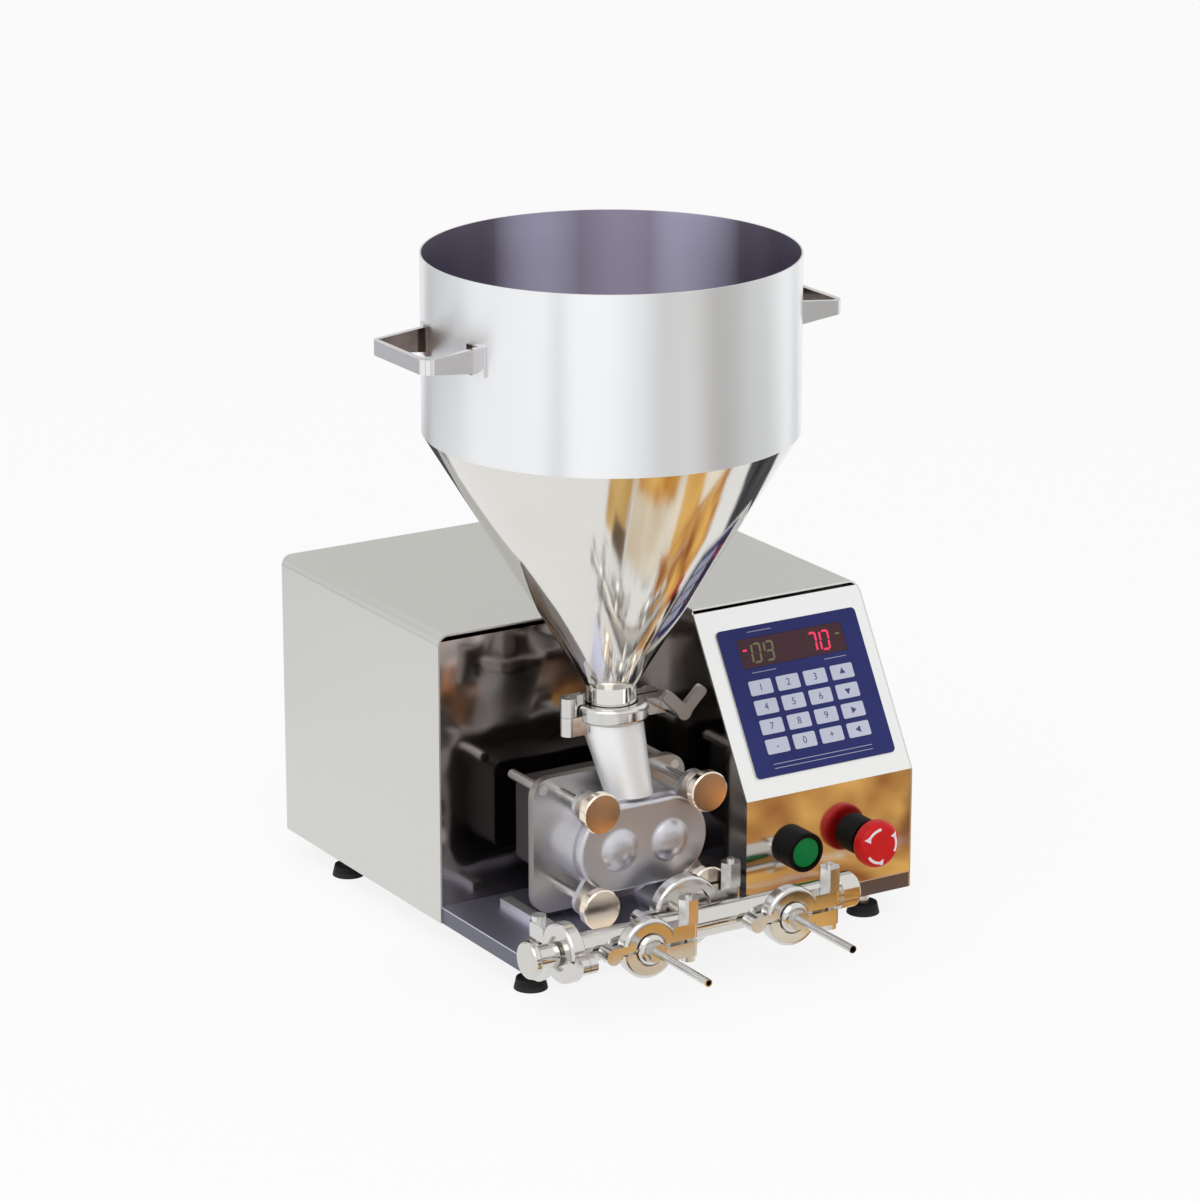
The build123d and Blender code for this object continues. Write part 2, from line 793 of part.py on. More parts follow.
parts["gear_case"] = gear_case


def bearing(x, front):
    """Ball bearing, drawn as one ring."""
    ring = rod_y(x, front, front + bearing_width, pump_z, bearing_radius)
    return ring - rod_y(x, front, front + bearing_width, pump_z, shaft_radius + running_fit)


parts["shaft_bearings"] = group(
    [bearing(x, front) for x in (drive_x, driven_x) for front in (plate_back, rear_bearing_front)]
)


def flank_point(radius, side, tooth):
    """Point of a tooth's involute flank at this radius."""
    base = pitch_radius * math.cos(pressure_angle)
    reach = max(radius, base)
    opening = math.sqrt((reach / base) ** 2 - 1) - math.acos(base / reach)
    pitch_opening = math.tan(pressure_angle) - pressure_angle
    half_tooth = (math.pi * gear_module - 2 * gear_backlash) / (4 * pitch_radius) + pitch_opening - opening
    angle = math.tau * tooth / gear_teeth + side * half_tooth
    return radius * math.cos(angle), radius * math.sin(angle)


def gear(x, turn):
    """Spur timing gear, turned by part of a tooth to mesh."""
    root = pitch_radius - root_depth * gear_module
    radii = [root + (gear_tip - root) * step / flank_points for step in range(flank_points + 1)]
    points = []
    for tooth in range(gear_teeth):
        points += [flank_point(radius, -1, tooth) for radius in radii]
        points += [flank_point(radius, 1, tooth) for radius in reversed(radii)]
    outline = make_face(Polyline(*points, close=True))
    middle = (gears_front + gears_back) / 2
    placed = facing_front(x, middle + gear_width / 2, pump_z) * Rot(0, 0, turn) * outline
    bore = rod_y(x, middle - gear_width / 2, middle + gear_width / 2, pump_z, shaft_radius + seat_fit)
    return extrude(placed, gear_width) - bore


half_tooth_turn = 180 / gear_teeth
parts["drive_shaft"] = shaft(drive_x, gearbox_front + gearbox_bore_depth - slide_fit)
parts["drive_gear"] = gear(drive_x, 0)
parts["drive_rotor"] = rotor(drive_x)
parts["drive_rotor_nut"] = rotor_nut(drive_x)
parts["driven_shaft"] = shaft(driven_x, rear_bearing_back - slide_fit)
parts["driven_gear"] = gear(driven_x, half_tooth_turn)
parts["driven_rotor"] = rotor(driven_x)
parts["driven_rotor_nut"] = rotor_nut(driven_x)

# Gearbox bolted to the back of the bay wall, and the motor behind it
gearbox_back = gearbox_front + gearbox_length
gearbox_outline = RectangleRounded(gearbox_size, gearbox_size, gearbox_corner)
gearbox = extrude(facing_front(drive_x, gearbox_back, pump_z) * gearbox_outline, gearbox_length)
gearbox_bore = rod_y(
    drive_x, gearbox_front, gearbox_front + gearbox_bore_depth, pump_z, shaft_radius + running_fit
)
parts["gearbox"] = gearbox - gearbox_bore
motor = rod_y(drive_x, gearbox_back, gearbox_back + motor_length, pump_z, motor_radius)
parts["drive_motor"] = fillet(motor.edges().group_by(Axis.Y)[-1], motor_edge)

# Hopper: a satin rolled band over a polished cone, whose neck ends in a clamp flange
hopper_x = pump_x + hopper_shift
cone_top = hopper_top - band_height
cone_bottom = clamp_height + neck_rise
hopper_flange = clamp_height + stack
band = rod_z(hopper_x, hopper_y, cone_top, hopper_top, hopper_radius)
parts["hopper_band"] = band - rod_z(hopper_x, hopper_y, cone_top, hopper_top, hopper_radius - hopper_wall)


def hopper_profile(inset):
    """Half section of cone and neck, drawn in by the wall, for turning about the hopper's axis."""
    neck = hopper_neck_radius - inset
    rim = hopper_radius - inset
    wall = [(neck, hopper_flange), (neck, cone_bottom), (rim, cone_top)]
    return make_face(Polyline((0, hopper_flange), *wall, (0, cone_top), close=True))


hopper_axis_plane = Plane((hopper_x, hopper_y, 0), x_dir=(1, 0, 0), z_dir=(0, -1, 0))
hopper_axis = Axis((hopper_x, hopper_y, 0), (0, 0, 1))
cone = revolve(hopper_axis_plane * hopper_profile(0), hopper_axis)
cone += rod_z(hopper_x, hopper_y, hopper_flange, hopper_flange + flange_thickness, large_ferrule)
parts["hopper_cone"] = cone - revolve(hopper_axis_plane * hopper_profile(hopper_wall), hopper_axis)


# Two flat-bar handles whose legs widen towards the pads that are welded to the hopper's sides
def hopper_handle(side):
    """Handle on one side of the hopper: -1 left, 1 right."""
    outer = hopper_radius + handle_reach
    wall_x = math.sqrt(hopper_radius**2 - handle_half_width**2) - pad_thickness
    root, bar = handle_root / 2, handle_bar / 2
    bend_x = outer - handle_bend
    upper = [(0, root), (wall_x, root), (bend_x, bar), (outer, bar)]
    side_view = make_face(Polyline(*upper, *[(x, -z) for x, z in reversed(upper)], close=True))
    outline = Pos(outer / 2, 0) * Rectangle(outer, 2 * handle_half_width)
    outline = fillet(outline.vertices().group_by(Axis.X)[-1], handle_bend)
    gap = outer - handle_thickness
    opening = Pos(gap / 2, 0) * Rectangle(gap, 2 * (handle_half_width - handle_thickness))
    opening = fillet(opening.vertices().group_by(Axis.X)[-1], handle_bend - handle_thickness)
    frame = extrude(Pos(0, 0, -root) * (outline - opening), handle_root)
    frame &= extrude(Plane.XZ * side_view, handle_half_width, both=True)
    seat = hopper_radius + seat_fit
    ring = Cylinder(seat + pad_thickness, pad_height) - Cylinder(seat, pad_height)
    grip = handle_half_width - handle_thickness / 2
    pads = [
        ring & (Pos(wall_x, level * grip) * Box(pad_width * 2, pad_width, pad_height)) for level in (1, -1)
    ]
    handle = frame - Cylinder(seat, 2 * pad_height) + pads
    turn = 0 if side > 0 else 180
    return Pos(hopper_x, hopper_y, handle_height) * Rot(0, 0, turn) * handle


parts["hopper_handles"] = group([hopper_handle(-1), hopper_handle(1)])

# Inlet tube: a flange over a groove for the hopper's clamp, a leaning taper, and a spigot into the pump
inlet_flange_top = clamp_height - stack
inlet_flange_bottom = inlet_flange_top - flange_thickness
inlet_shoulder = clamp_height - ring_width / 2 - inlet_groove


def inlet_taper(top, top_radius, bottom_radius):
    """Leaning taper from below the clamp to the pump's top."""
    upper = Pos(hopper_x, hopper_y, top) * Circle(top_radius)
    lower = Pos(pump_x, chamber_middle, casing_top) * Circle(bottom_radius)
    return loft([lower, upper])


inlet_bore = inlet_bore_radius - inlet_wall
inlet_tube = inlet_taper(inlet_shoulder, large_ferrule, inlet_foot_radius)
inlet_tube += rod_z(hopper_x, hopper_y, inlet_shoulder, inlet_flange_bottom, hopper_neck_radius)
inlet_tube += rod_z(hopper_x, hopper_y, inlet_flange_bottom, inlet_flange_top, large_ferrule)
spigot_end = casing_top - inlet_spigot
inlet_tube += rod_z(pump_x, chamber_middle, spigot_end, casing_top, inlet_bore_radius - loose_fit)
inlet_tube -= inlet_taper(inlet_shoulder, hopper_neck_radius - hopper_wall, inlet_bore)
inlet_tube -= rod_z(hopper_x, hopper_y, inlet_shoulder, inlet_flange_top, hopper_neck_radius - hopper_wall)
inlet_tube -= rod_z(pump_x, chamber_middle, spigot_end, casing_top, inlet_bore)
parts["inlet_tube"] = inlet_tube


# Sanitary clamps, drawn about a vertical axis with the hinge on the left and the bolt on the right
def clamp_half(ferrule, ring, lip, side, hinge=ring_width):
    """Half ring with its bolt ear and hinge knuckle: side -1 is the front half, 1 the back half."""
    groove_height = 2 * (flange_thickness + slide_fit) + gasket_thickness
    disc = Cylinder(ring, ring_width)
    half = fillet(disc.edges().filter_by(GeomType.CIRCLE), ring_edge) - Cylinder(lip, ring_width)
    half -= Cylinder(ferrule + slide_fit, groove_height)
    ear_near, ear_far = ring_split / 2, ear_depth
    keep = (ring_split / 2, ring + hinge_radius)
    y_keep = keep if side > 0 else (-keep[1], -keep[0])
    y_ear = (ear_near, ear_far) if side > 0 else (-ear_far, -ear_near)
    half &= block((-ring, ring), y_keep, (-ring_width, ring_width))
    core = Cylinder(ferrule + slide_fit, hinge)
    ear = block((ring - ear_root, ring + ear_reach), y_ear, (-ring_width / 2, ring_width / 2))
    half += fillet(ear.edges().filter_by(Axis.Y).group_by(Axis.X)[-1], ear_round) - core
    half -= rod_y(ring + bolt_reach, -ear_far, ear_far, 0, bolt_radius + slide_fit)
    knuckle_z = (slide_fit / 2, hinge / 2) if side > 0 else (-hinge / 2, -slide_fit / 2)
    knuckle = rod_z(-ring - hinge_reach, 0, *knuckle_z, hinge_radius)
    y_arm = (0, hinge_radius) if side > 0 else (-hinge_radius, 0)
    knuckle += block((-ring - hinge_reach, hinge_root - ring), y_arm, knuckle_z) - core
    pin_hole = rod_z(-ring - hinge_reach, 0, -hinge, hinge, hinge_pin_radius + seat_fit)
    return half + knuckle - pin_hole


def clamp_bolt(ring):
    """Clamp bolt, with its head behind the back ear."""
    head = rod_y(ring + bolt_reach, ear_depth, ear_depth + bolt_head_height, 0, bolt_head_radius)
    return head + rod_y(ring + bolt_reach, -bolt_tail, ear_depth, 0, bolt_radius)


def clamp_pin(ring, hinge=ring_width):
    """Hinge pin through both knuckles."""
    return rod_z(-ring - hinge_reach, 0, -hinge / 2, hinge / 2, hinge_pin_radius)


def clamp_nut(ring):
    """Tall hexagon nut on the clamp bolt, seated on the front ear."""
    outline = facing_front(ring + bolt_reach, -ear_depth, 0) * RegularPolygon(nut_radius, 6)
    return extrude(outline, nut_height) - rod_y(ring + bolt_reach, -bolt_tail, 0, 0, bolt_radius + seat_fit)


def wing_nut(ring):
    """Wing nut on the clamp bolt, just off the front ear, with its two wings raised in a V."""
    back = -ear_depth - slide_fit
    front = back - wing_hub_length
    x = ring + bolt_reach
    wing = block((0, wing_length), (front, front + wing_thickness), (-wing_height / 2, wing_height / 2))
    wing = fillet(wing.edges().filter_by(Axis.Y).group_by(Axis.X)[-1], wing_height / 3)
    nut = rod_y(x, front, back, 0, wing_hub_radius)
    nut += [Pos(x, 0, 0) * Rot(0, turn, 0) * wing for turn in wing_turns]
    return nut - rod_y(x, -bolt_tail - slide_fit, 0, 0, bolt_radius + running_fit)


def clamp_gasket(ferrule, bore):
    """Flat gasket between two flanges."""
    return Cylinder(ferrule, gasket_thickness) - Cylinder(bore, gasket_thickness)


large = (large_ferrule, large_ring, large_lip)
small = (small_ferrule, small_ring, small_lip)
hopper_clamp = Pos(hopper_x, hopper_y, clamp_height)
outlet_clamp = Plane((outlet_x, outlet_face, manifold_z), x_dir=(1, 0, 0), z_dir=(0, 1, 0))
nozzle_spots = [outlet_x - nozzle_spacing / 2, outlet_x + nozzle_spacing / 2]
nozzle_clamps = [
    Plane((x, nozzle_face, manifold_z), x_dir=(1, 0, 0), z_dir=(0, 1, 0)) for x in nozzle_spots
]
manifold_left = outlet_x - manifold_left_reach
end_clamp = Plane((manifold_left, manifold_y, manifold_z), x_dir=(0, 1, 0), z_dir=(1, 0, 0))

parts["hopper_clamp_front"] = hopper_clamp * clamp_half(*large, -1, hopper_hinge)
parts["hopper_clamp_back"] = hopper_clamp * clamp_half(*large, 1, hopper_hinge)
parts["hopper_wing_nut"] = hopper_clamp * wing_nut(large_ring)
fixed_clamps = [(outlet_clamp, large)] + [(place, small) for place in nozzle_clamps + [end_clamp]]
parts["manifold_clamps"] = group(
    [place * clamp_half(*size, side) for place, size in fixed_clamps for side in (-1, 1)]
)
clamp_fasteners = [hopper_clamp * clamp_bolt(large_ring), hopper_clamp * clamp_pin(large_ring, hopper_hinge)]
for place, size in fixed_clamps:
    clamp_fasteners += [place * clamp_bolt(size[1]), place * clamp_pin(size[1])]
parts["clamp_bolts_and_pins"] = group(clamp_fasteners)
parts["clamp_nuts"] = group([place * clamp_nut(size[1]) for place, size in fixed_clamps])

# Manifold: a straight tube with one branch back to the pump's outlet and two forward to the nozzles
manifold_bore = manifold_radius - manifold_wall
hopper_bore = hopper_neck_radius - hopper_wall
parts["clamp_gaskets"] = group(
    [
        hopper_clamp * clamp_gasket(large_ferrule, hopper_bore),
        outlet_clamp * clamp_gasket(large_ferrule, branch_radius - manifold_wall),
    ]
    + [place * clamp_gasket(small_ferrule, manifold_bore) for place in nozzle_clamps + [end_clamp]]
)
feed_flange_back = outlet_face - stack
feed_flange_front = feed_flange_back - flange_thickness
nozzle_flange_front = nozzle_face + stack
nozzle_flange_back = nozzle_flange_front + flange_thickness
left_flange = manifold_left + stack


def manifold_runs(inset, right):
    """The manifold's tube and its three branches, drawn in by an inset."""
    runs = rod_x(left_flange, right, manifold_y, manifold_z, manifold_radius - inset)
    runs += rod_y(outlet_x, manifold_y, feed_flange_back, manifold_z, branch_radius - inset)
    for x in nozzle_spots:
        runs += rod_y(x, nozzle_flange_front, manifold_y, manifold_z, branch_radius - inset)
    return runs


manifold_right = outlet_x + manifold_right_reach
manifold = manifold_runs(0, manifold_right)
end_cap = rod_x(manifold_right - end_cap_length, manifold_right, manifold_y, manifold_z, end_cap_radius)
manifold += fillet(end_cap.edges().group_by(Axis.X)[-1], end_edge)
manifold += rod_x(left_flange, left_flange + flange_thickness, manifold_y, manifold_z, small_ferrule)
manifold += rod_y(outlet_x, feed_flange_front, feed_flange_back, manifold_z, large_ferrule)
for x in nozzle_spots:
    manifold += rod_y(x, nozzle_flange_front, nozzle_flange_back, manifold_z, small_ferrule)
parts["manifold"] = manifold - manifold_runs(manifold_wall, manifold_right - end_cap_length / 2)

# End plug: a flange with a neck and a round grip, closing the manifold's left end
plug_flange = manifold_left - stack
plug_neck_end = plug_flange - flange_thickness - plug_neck_length
plug = rod_x(plug_flange - flange_thickness, plug_flange, manifold_y, manifold_z, small_ferrule)
plug += rod_x(plug_neck_end, plug_flange, manifold_y, manifold_z, plug_neck_radius)
plug_knob = rod_x(plug_neck_end - plug_knob_length, plug_neck_end, manifold_y, manifold_z, plug_knob_radius)
plug += fillet(plug_knob.edges(), end_edge)
parts["end_plug"] = plug

# Nozzle caps and the needles screwed into them
cap_back = nozzle_face - stack
cap_front = cap_back - flange_thickness - nozzle_hub_length


def nozzle_cap(x):
    """Flange with a rounded hub that takes the needle."""
    cap = rod_y(x, cap_back - flange_thickness, cap_back, manifold_z, small_ferrule)
    hub = rod_y(x, cap_front, cap_back, manifold_z, nozzle_hub_radius)
    cap += fillet(hub.edges().group_by(Axis.Y)[0], nozzle_hub_round)
    return cap - rod_y(x, cap_front, cap_back, manifold_z, needle_radius + seat_fit)


def needle(x):
    """Filling needle: a thin tube with its tip cut aslant and a hexagon that seats on the cap."""
    tube = rod_y(x, cap_front - needle_length, cap_back, manifold_z, needle_radius)
    hexagon = facing_front(x, cap_front, manifold_z) * RegularPolygon(needle_hex_radius, 6)
    tube += extrude(hexagon, needle_hex_length)
    tube -= rod_y(x, cap_front - needle_length, cap_back, manifold_z, needle_bore)
    tip = Pos(x, cap_front - needle_length, manifold_z - needle_radius) * Rot(needle_tip_slant, 0, 0)
    return tube - tip * Pos(0, -2 * needle_radius, 0) * Box(*[4 * needle_radius] * 3)


parts["nozzle_caps"] = group([nozzle_cap(x) for x in nozzle_spots])
parts["needles"] = group([needle(x) for x in nozzle_spots])

# Controller board on spacers in the cabinet, with its transformer, capacitors and heat sink
controller_x = cabinet_width - controller_inset
board_x = (controller_x - controller_width / 2, controller_x + controller_width / 2)
board_y = (controller_y - controller_length / 2, controller_y + controller_length / 2)
board_z = tray_height + controller_lift
board_top = board_z + board_thickness
controller = block(board_x, board_y, (board_z, board_top))
for x in (board_x[0] + 2 * spacer_radius, board_x[1] - 2 * spacer_radius):
    for y in (board_y[0] + 2 * spacer_radius, board_y[1] - 2 * spacer_radius):
        controller += rod_z(x, y, tray_height, board_z, spacer_radius)


def on_board(left, front, size):
    """Block standing on the controller board."""
    width, length, height = size
    return block((left, left + width), (front, front + length), (board_top, board_top + height))


front_row = board_y[0] + controller_margin
heat_sink_left = board_x[1] - controller_margin - heat_sink_size[0]
heat_sink_front = board_y[1] - controller_margin - heat_sink_size[1]
controller += on_board(board_x[0] + controller_margin, front_row, transformer_size)
controller += on_board(heat_sink_left, heat_sink_front, heat_sink_size)
for step in range(capacitor_count):
    x = board_x[1] - controller_margin - step * capacitor_pitch
    controller += rod_z(x, front_row, board_top, board_top + capacitor_height, capacitor_radius)
parts["controller_board"] = controller

# Power inlet in the back panel: a flanged socket with three pins
inlet_right = inlet_x + inlet_width / 2
inlet_left = inlet_x - inlet_width / 2
inlet_low = inlet_z - inlet_height / 2
inlet_high = inlet_z + inlet_height / 2
socket_body = block(
    (inlet_left, inlet_right), (cabinet_depth - inlet_depth, cabinet_depth), (inlet_low, inlet_high)
)
inlet_face = cabinet_depth + inlet_flange_thickness
socket_body += block(
    (inlet_left - inlet_flange, inlet_right + inlet_flange),
    (cabinet_depth, inlet_face),
    (inlet_low - inlet_flange, inlet_high + inlet_flange),
)
recess_floor = inlet_face - inlet_recess_depth
socket_body -= block(
    (inlet_left + inlet_recess_wall, inlet_right - inlet_recess_wall),
    (recess_floor, inlet_face),
    (inlet_low + inlet_recess_wall, inlet_high - inlet_recess_wall),
)
for across, up in inlet_pins:
    socket_body += block(
        (inlet_x + across - pin_half_width, inlet_x + across + pin_half_width),
        (recess_floor, recess_floor + pin_length),
        (inlet_z + up - pin_half_height, inlet_z + up + pin_half_height),
    )
parts["power_inlet"] = socket_body

# The machine stands with the origin on the table, under the middle of its outline seen from above
outline_box = Compound(list(parts.values())).bounding_box()
stand = Pos(-outline_box.center().X, -outline_box.center().Y, -outline_box.min.Z)

os.makedirs("parts", exist_ok=True)
for name, shape in parts.items():
    export_step(stand * shape, f"parts/{name}.step")
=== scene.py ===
import bpy
import math
from mathutils import Matrix, Vector


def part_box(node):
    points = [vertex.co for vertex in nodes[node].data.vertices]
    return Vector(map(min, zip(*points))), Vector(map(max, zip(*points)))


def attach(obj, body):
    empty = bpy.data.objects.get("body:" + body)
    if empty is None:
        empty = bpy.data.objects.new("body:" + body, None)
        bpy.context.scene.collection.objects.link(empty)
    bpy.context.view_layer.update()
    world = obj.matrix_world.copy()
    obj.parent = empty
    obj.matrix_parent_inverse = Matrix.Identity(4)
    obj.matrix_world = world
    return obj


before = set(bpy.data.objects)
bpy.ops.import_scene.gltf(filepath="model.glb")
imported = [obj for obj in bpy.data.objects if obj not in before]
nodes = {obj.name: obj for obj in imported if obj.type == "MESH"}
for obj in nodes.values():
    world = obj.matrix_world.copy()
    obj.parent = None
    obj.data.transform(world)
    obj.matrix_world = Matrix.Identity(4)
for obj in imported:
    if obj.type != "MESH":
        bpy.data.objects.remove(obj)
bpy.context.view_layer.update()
mm = 0.001


# Base tray: a pan of stainless sheet with its edges folded down, the floor that everything stands on.
# It has a satin grain drawn across the machine, and its folded edges are darker than its floor: painted
# shade.
# The classes and functions that all finishes share stand here, before the first of them.
class Wire:
    """An output of a finish's node, so that shader sums read like plain arithmetic."""

    def __init__(self, finish, socket):
        self.finish = finish
        self.socket = socket

    def maths(self, operation, first, second=0.0):
        return self.finish.node("ShaderNodeMath", {"operation": operation}, {0: first, 1: second})

    def __add__(self, other):
        return self.maths("ADD", self, other)

    def __radd__(self, other):
        return self.maths("ADD", other, self)

    def __sub__(self, other):
        return self.maths("SUBTRACT", self, other)

    def __rsub__(self, other):
        return self.maths("SUBTRACT", other, self)

    def __mul__(self, other):
        return self.maths("MULTIPLY", self, other)

    def __rmul__(self, other):
        return self.maths("MULTIPLY", other, self)

    def __pow__(self, other):
        return self.maths("POWER", self, other)

    def __abs__(self):
        return self.maths("ABSOLUTE", self)

    def __gt__(self, other):
        return self.maths("GREATER_THAN", self, other)

    def __lt__(self, other):
        return self.maths("LESS_THAN", self, other)


class Wiring:
    """A tree of nodes, and the ways to add to it."""

    def __init__(self, tree):
        self.tree = tree

    def plug(self, socket, value):
        """Links a wire to a socket, or sets the socket to a plain value."""
        if isinstance(value, Wire):
            self.tree.links.new(value.socket, socket)
        elif socket.type == "RGBA":
            socket.default_value = (*value[:3], 1.0)
        else:
            socket.default_value = value

    def node(self, kind, settings=None, sockets=None, output=0):
        """Adds a node: its settings first, then the values or wires of its sockets."""
        node = self.tree.nodes.new(kind)
        for name, value in (settings or {}).items():
            setattr(node, name, value)
        for name, value in (sockets or {}).items():
            self.plug(node.inputs[name], value)
        return Wire(self, node.outputs[output])


class Finish(Wiring):
    """One surface finish: a procedural material that reads the piece's own coordinates."""

    def __init__(self, name, constants):
        self.material = bpy.data.materials.new(name)
        self.material.use_nodes = True
        super().__init__(self.material.node_tree)
        self.shader = self.tree.nodes["Principled BSDF"]
        for socket, value in constants.items():
            self.plug(self.shader.inputs[socket], value)
        self.place = self.node("ShaderNodeTexCoord", output="Object")

    def noise(self, place, scale, detail=2.0):
        """Soft noise between 0 and 1, its scale in lumps to the metre where the place isn't stretched."""
        return self.node("ShaderNodeTexNoise", None, {"Vector": place, "Scale": scale, "Detail": detail})

    def stretched(self, scales):
        """The piece's coordinates times a scale on each axis."""
        return self.node("ShaderNodeVectorMath", {"operation": "MULTIPLY"}, {0: self.place, 1: scales})

    def axis(self, name):
        """One of the piece's three coordinates."""
        return self.node("ShaderNodeSeparateXYZ", None, {0: self.place}, name)

    def mix(self, first, second, share):
        """A colour between two, by a share from 0 to 1."""
        sockets = {0: share, 6: first, 7: second}
        return self.node("ShaderNodeMix", {"data_type": "RGBA", "clamp_factor": True}, sockets, 2)

    def surface(self, colour, roughness, height=None, strength=0.1, depth=0.05 * mm):
        """Feeds the shader its colour, its roughness and the height of its fine relief."""
        self.plug(self.shader.inputs["Base Color"], colour)
        self.plug(self.shader.inputs["Roughness"], roughness)
        if height is not None:
            relief = {"Height": height, "Strength": strength, "Distance": depth}
            self.plug(self.shader.inputs["Normal"], self.node("ShaderNodeBump", None, relief))


def shade(colour, factor):
    """A colour made lighter or darker."""
    return tuple(channel * factor for channel in colour)


def dress(finish, *names):
    """Puts a finish on CAD nodes."""
    for name in names:
        nodes[name].material_slots[0].material = finish.material


def satin_steel(name, colour, roughness, grain, contrast=0.07, painted_shade_below=None):
    """Stainless steel with a fine grain drawn one way and a faint clouding, and, where a height is given,
    painted shade that darkens it below that height.
    """
    finish = Finish(name, {"Metallic": 1.0})
    lines = finish.noise(finish.stretched(grain), 1.0, 3.0)
    cloud = finish.noise(finish.place, 8.0)
    tone = finish.mix(shade(colour, 1 - contrast), shade(colour, 1 + contrast), 0.65 * lines + 0.35 * cloud)
    # Painted shade: below the given height the colour turns to a darker copy of itself.
    if painted_shade_below:
        height, share = painted_shade_below
        tone = finish.mix(tone, shade(colour, share), finish.axis("Z") < height)
    finish.surface(tone, roughness + 0.12 * (lines - 0.5) + 0.1 * (cloud - 0.5), lines, 0.12)
    return finish


grain_across = (14.0, 2200.0, 2200.0)
tray_colour = (0.64, 0.65, 0.82)
# The folded edges below this height get painted shade.
tray_fold = 33 * mm
fold_shade_share = 0.25
tray_fold_shade = (tray_fold, fold_shade_share)
dress(satin_steel("tray_satin", tray_colour, 0.42, grain_across, painted_shade_below=tray_fold_shade), "base_tray")

# Levelling feet: four rubber pads moulded round steel studs, which screw up into the tray.
# Black rubber with a fine stipple, a little grey with dust near the table, and bright turned studs.
foot_black = (0.012, 0.012, 0.013)
foot_dust = (0.07, 0.067, 0.062)
stud_bright = (0.66, 0.66, 0.65)
dust_height = 4 * mm
pad_height = 9 * mm
feet = Finish("foot_rubber", {"Specular IOR Level": 0.25})
stipple = feet.noise(feet.place, 1500.0)
stud = feet.axis("Z") > pad_height
dusty = feet.noise(feet.place, 60.0, 4.0) * (feet.axis("Z") < dust_height)
pad_tone = feet.mix(foot_black, foot_dust, 0.5 * dusty)
feet.surface(feet.mix(pad_tone, stud_bright, stud), 0.62 + 0.2 * stipple - 0.45 * stud, stipple, 0.3)
feet.plug(feet.shader.inputs["Metallic"], stud)
dress(feet, "rubber_feet")

# Cabinet: one stainless sheet bent over both top corners, and a flat back panel screwed to its flange.
# Both are satin sheet; the wrap's grain runs from front to back and the panel's from side to side.
cabinet_colour = (0.665, 0.66, 0.635)
grain_back = (2200.0, 14.0, 2200.0)
dress(satin_steel("cabinet_satin", cabinet_colour, 0.34, grain_back, contrast=0.04), "cabinet_wrap")
dress(satin_steel("back_satin", cabinet_colour, 0.36, grain_across, contrast=0.05), "back_panel")

# Panel screws: slotted pan heads in bright steel that hold the back panel.
# Their steel has a fine even grain; the studs, nuts and bolts further on share it.
fastener_colour = (0.70, 0.70, 0.695)
fastener_grain = (1400.0, 1400.0, 1400.0)
bright = satin_steel("bright_fastener", fastener_colour, 0.24, fastener_grain, contrast=0.1)
dress(bright, "panel_screws")

# Drive: a gearmotor behind the bay wall turns the pump's drive shaft, and two timing gears in a black
# anodised case turn the second shaft against it; the case's near-black is partly painted shade. Painted
# castings, sand-cast alloy and oiled, cut steel.
paint = Finish("drive_paint", {"Coat Weight": 0.15})
peel = paint.noise(paint.place, 900.0, 3.0)
wear = paint.noise(paint.place, 40.0, 5.0)
drive_grey = paint.mix((0.19, 0.20, 0.22), (0.27, 0.28, 0.30), wear)
paint.surface(drive_grey, 0.42 + 0.16 * peel, peel, 0.35, 0.1 * mm)
dress(paint, "drive_motor", "gearbox")

alloy = Finish("case_alloy", {"Metallic": 0.6})
sand = alloy.noise(alloy.place, 700.0, 4.0)
patch = alloy.noise(alloy.place, 30.0, 3.0)
# Near-black: partly black anodising, partly painted shade for the dark, unlit space behind the plate.
case_black_and_shade = alloy.mix((0.075, 0.068, 0.070), (0.105, 0.096, 0.098), patch)
alloy.surface(case_black_and_shade, 0.36 + 0.2 * sand, sand, 0.4, 0.1 * mm)
dress(alloy, "gear_case")

oiled = Finish("oiled_steel", {"Metallic": 1.0, "Coat Weight": 0.3})
film = oiled.noise(oiled.place, 90.0, 4.0)
cutter = oiled.noise(oiled.stretched((300.0, 4000.0, 300.0)), 1.0)
oiled.surface(oiled.mix((0.40, 0.39, 0.37), (0.58, 0.58, 0.58), film), 0.22 + 0.16 * cutter, cutter, 0.2)
dress(oiled, "drive_gear", "driven_gear", "shaft_bearings")


def turned_steel(name, colour, roughness, middle, pitch):
    """Steel turned on a lathe: fine rings round a line that runs from front to back through a middle."""
    finish = Finish(name, {"Metallic": 1.0})
    sideways = finish.axis("X") - middle.x
    upwards = finish.axis("Z") - middle.z
    radius = (sideways * sideways + upwards * upwards) ** 0.5
    rings = finish.noise(finish.node("ShaderNodeCombineXYZ", None, {0: radius}), 1 / pitch, 3.0)
    haze = finish.noise(finish.place, 45.0, 3.0)
    tone = finish.mix(shade(colour, 0.92), shade(colour, 1.06), 0.5 * rings + 0.5 * haze)
    finish.surface(tone, roughness + 0.1 * (rings - 0.5) + 0.08 * (haze - 0.5), rings)
    return finish


def centre_of(name):
    """Middle of a CAD node's box."""
    low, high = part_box(name)
    return (low + high) / 2


rotor_colour = (0.66, 0.66, 0.65)
for train in ("drive", "driven"):
    spun = turned_steel(train + "_spun_steel", rotor_colour, 0.2, centre_of(train + "_shaft"), pitch=0.4 * mm)
    dress(spun, train + "_shaft", train + "_rotor_nut", train + "_rotor")
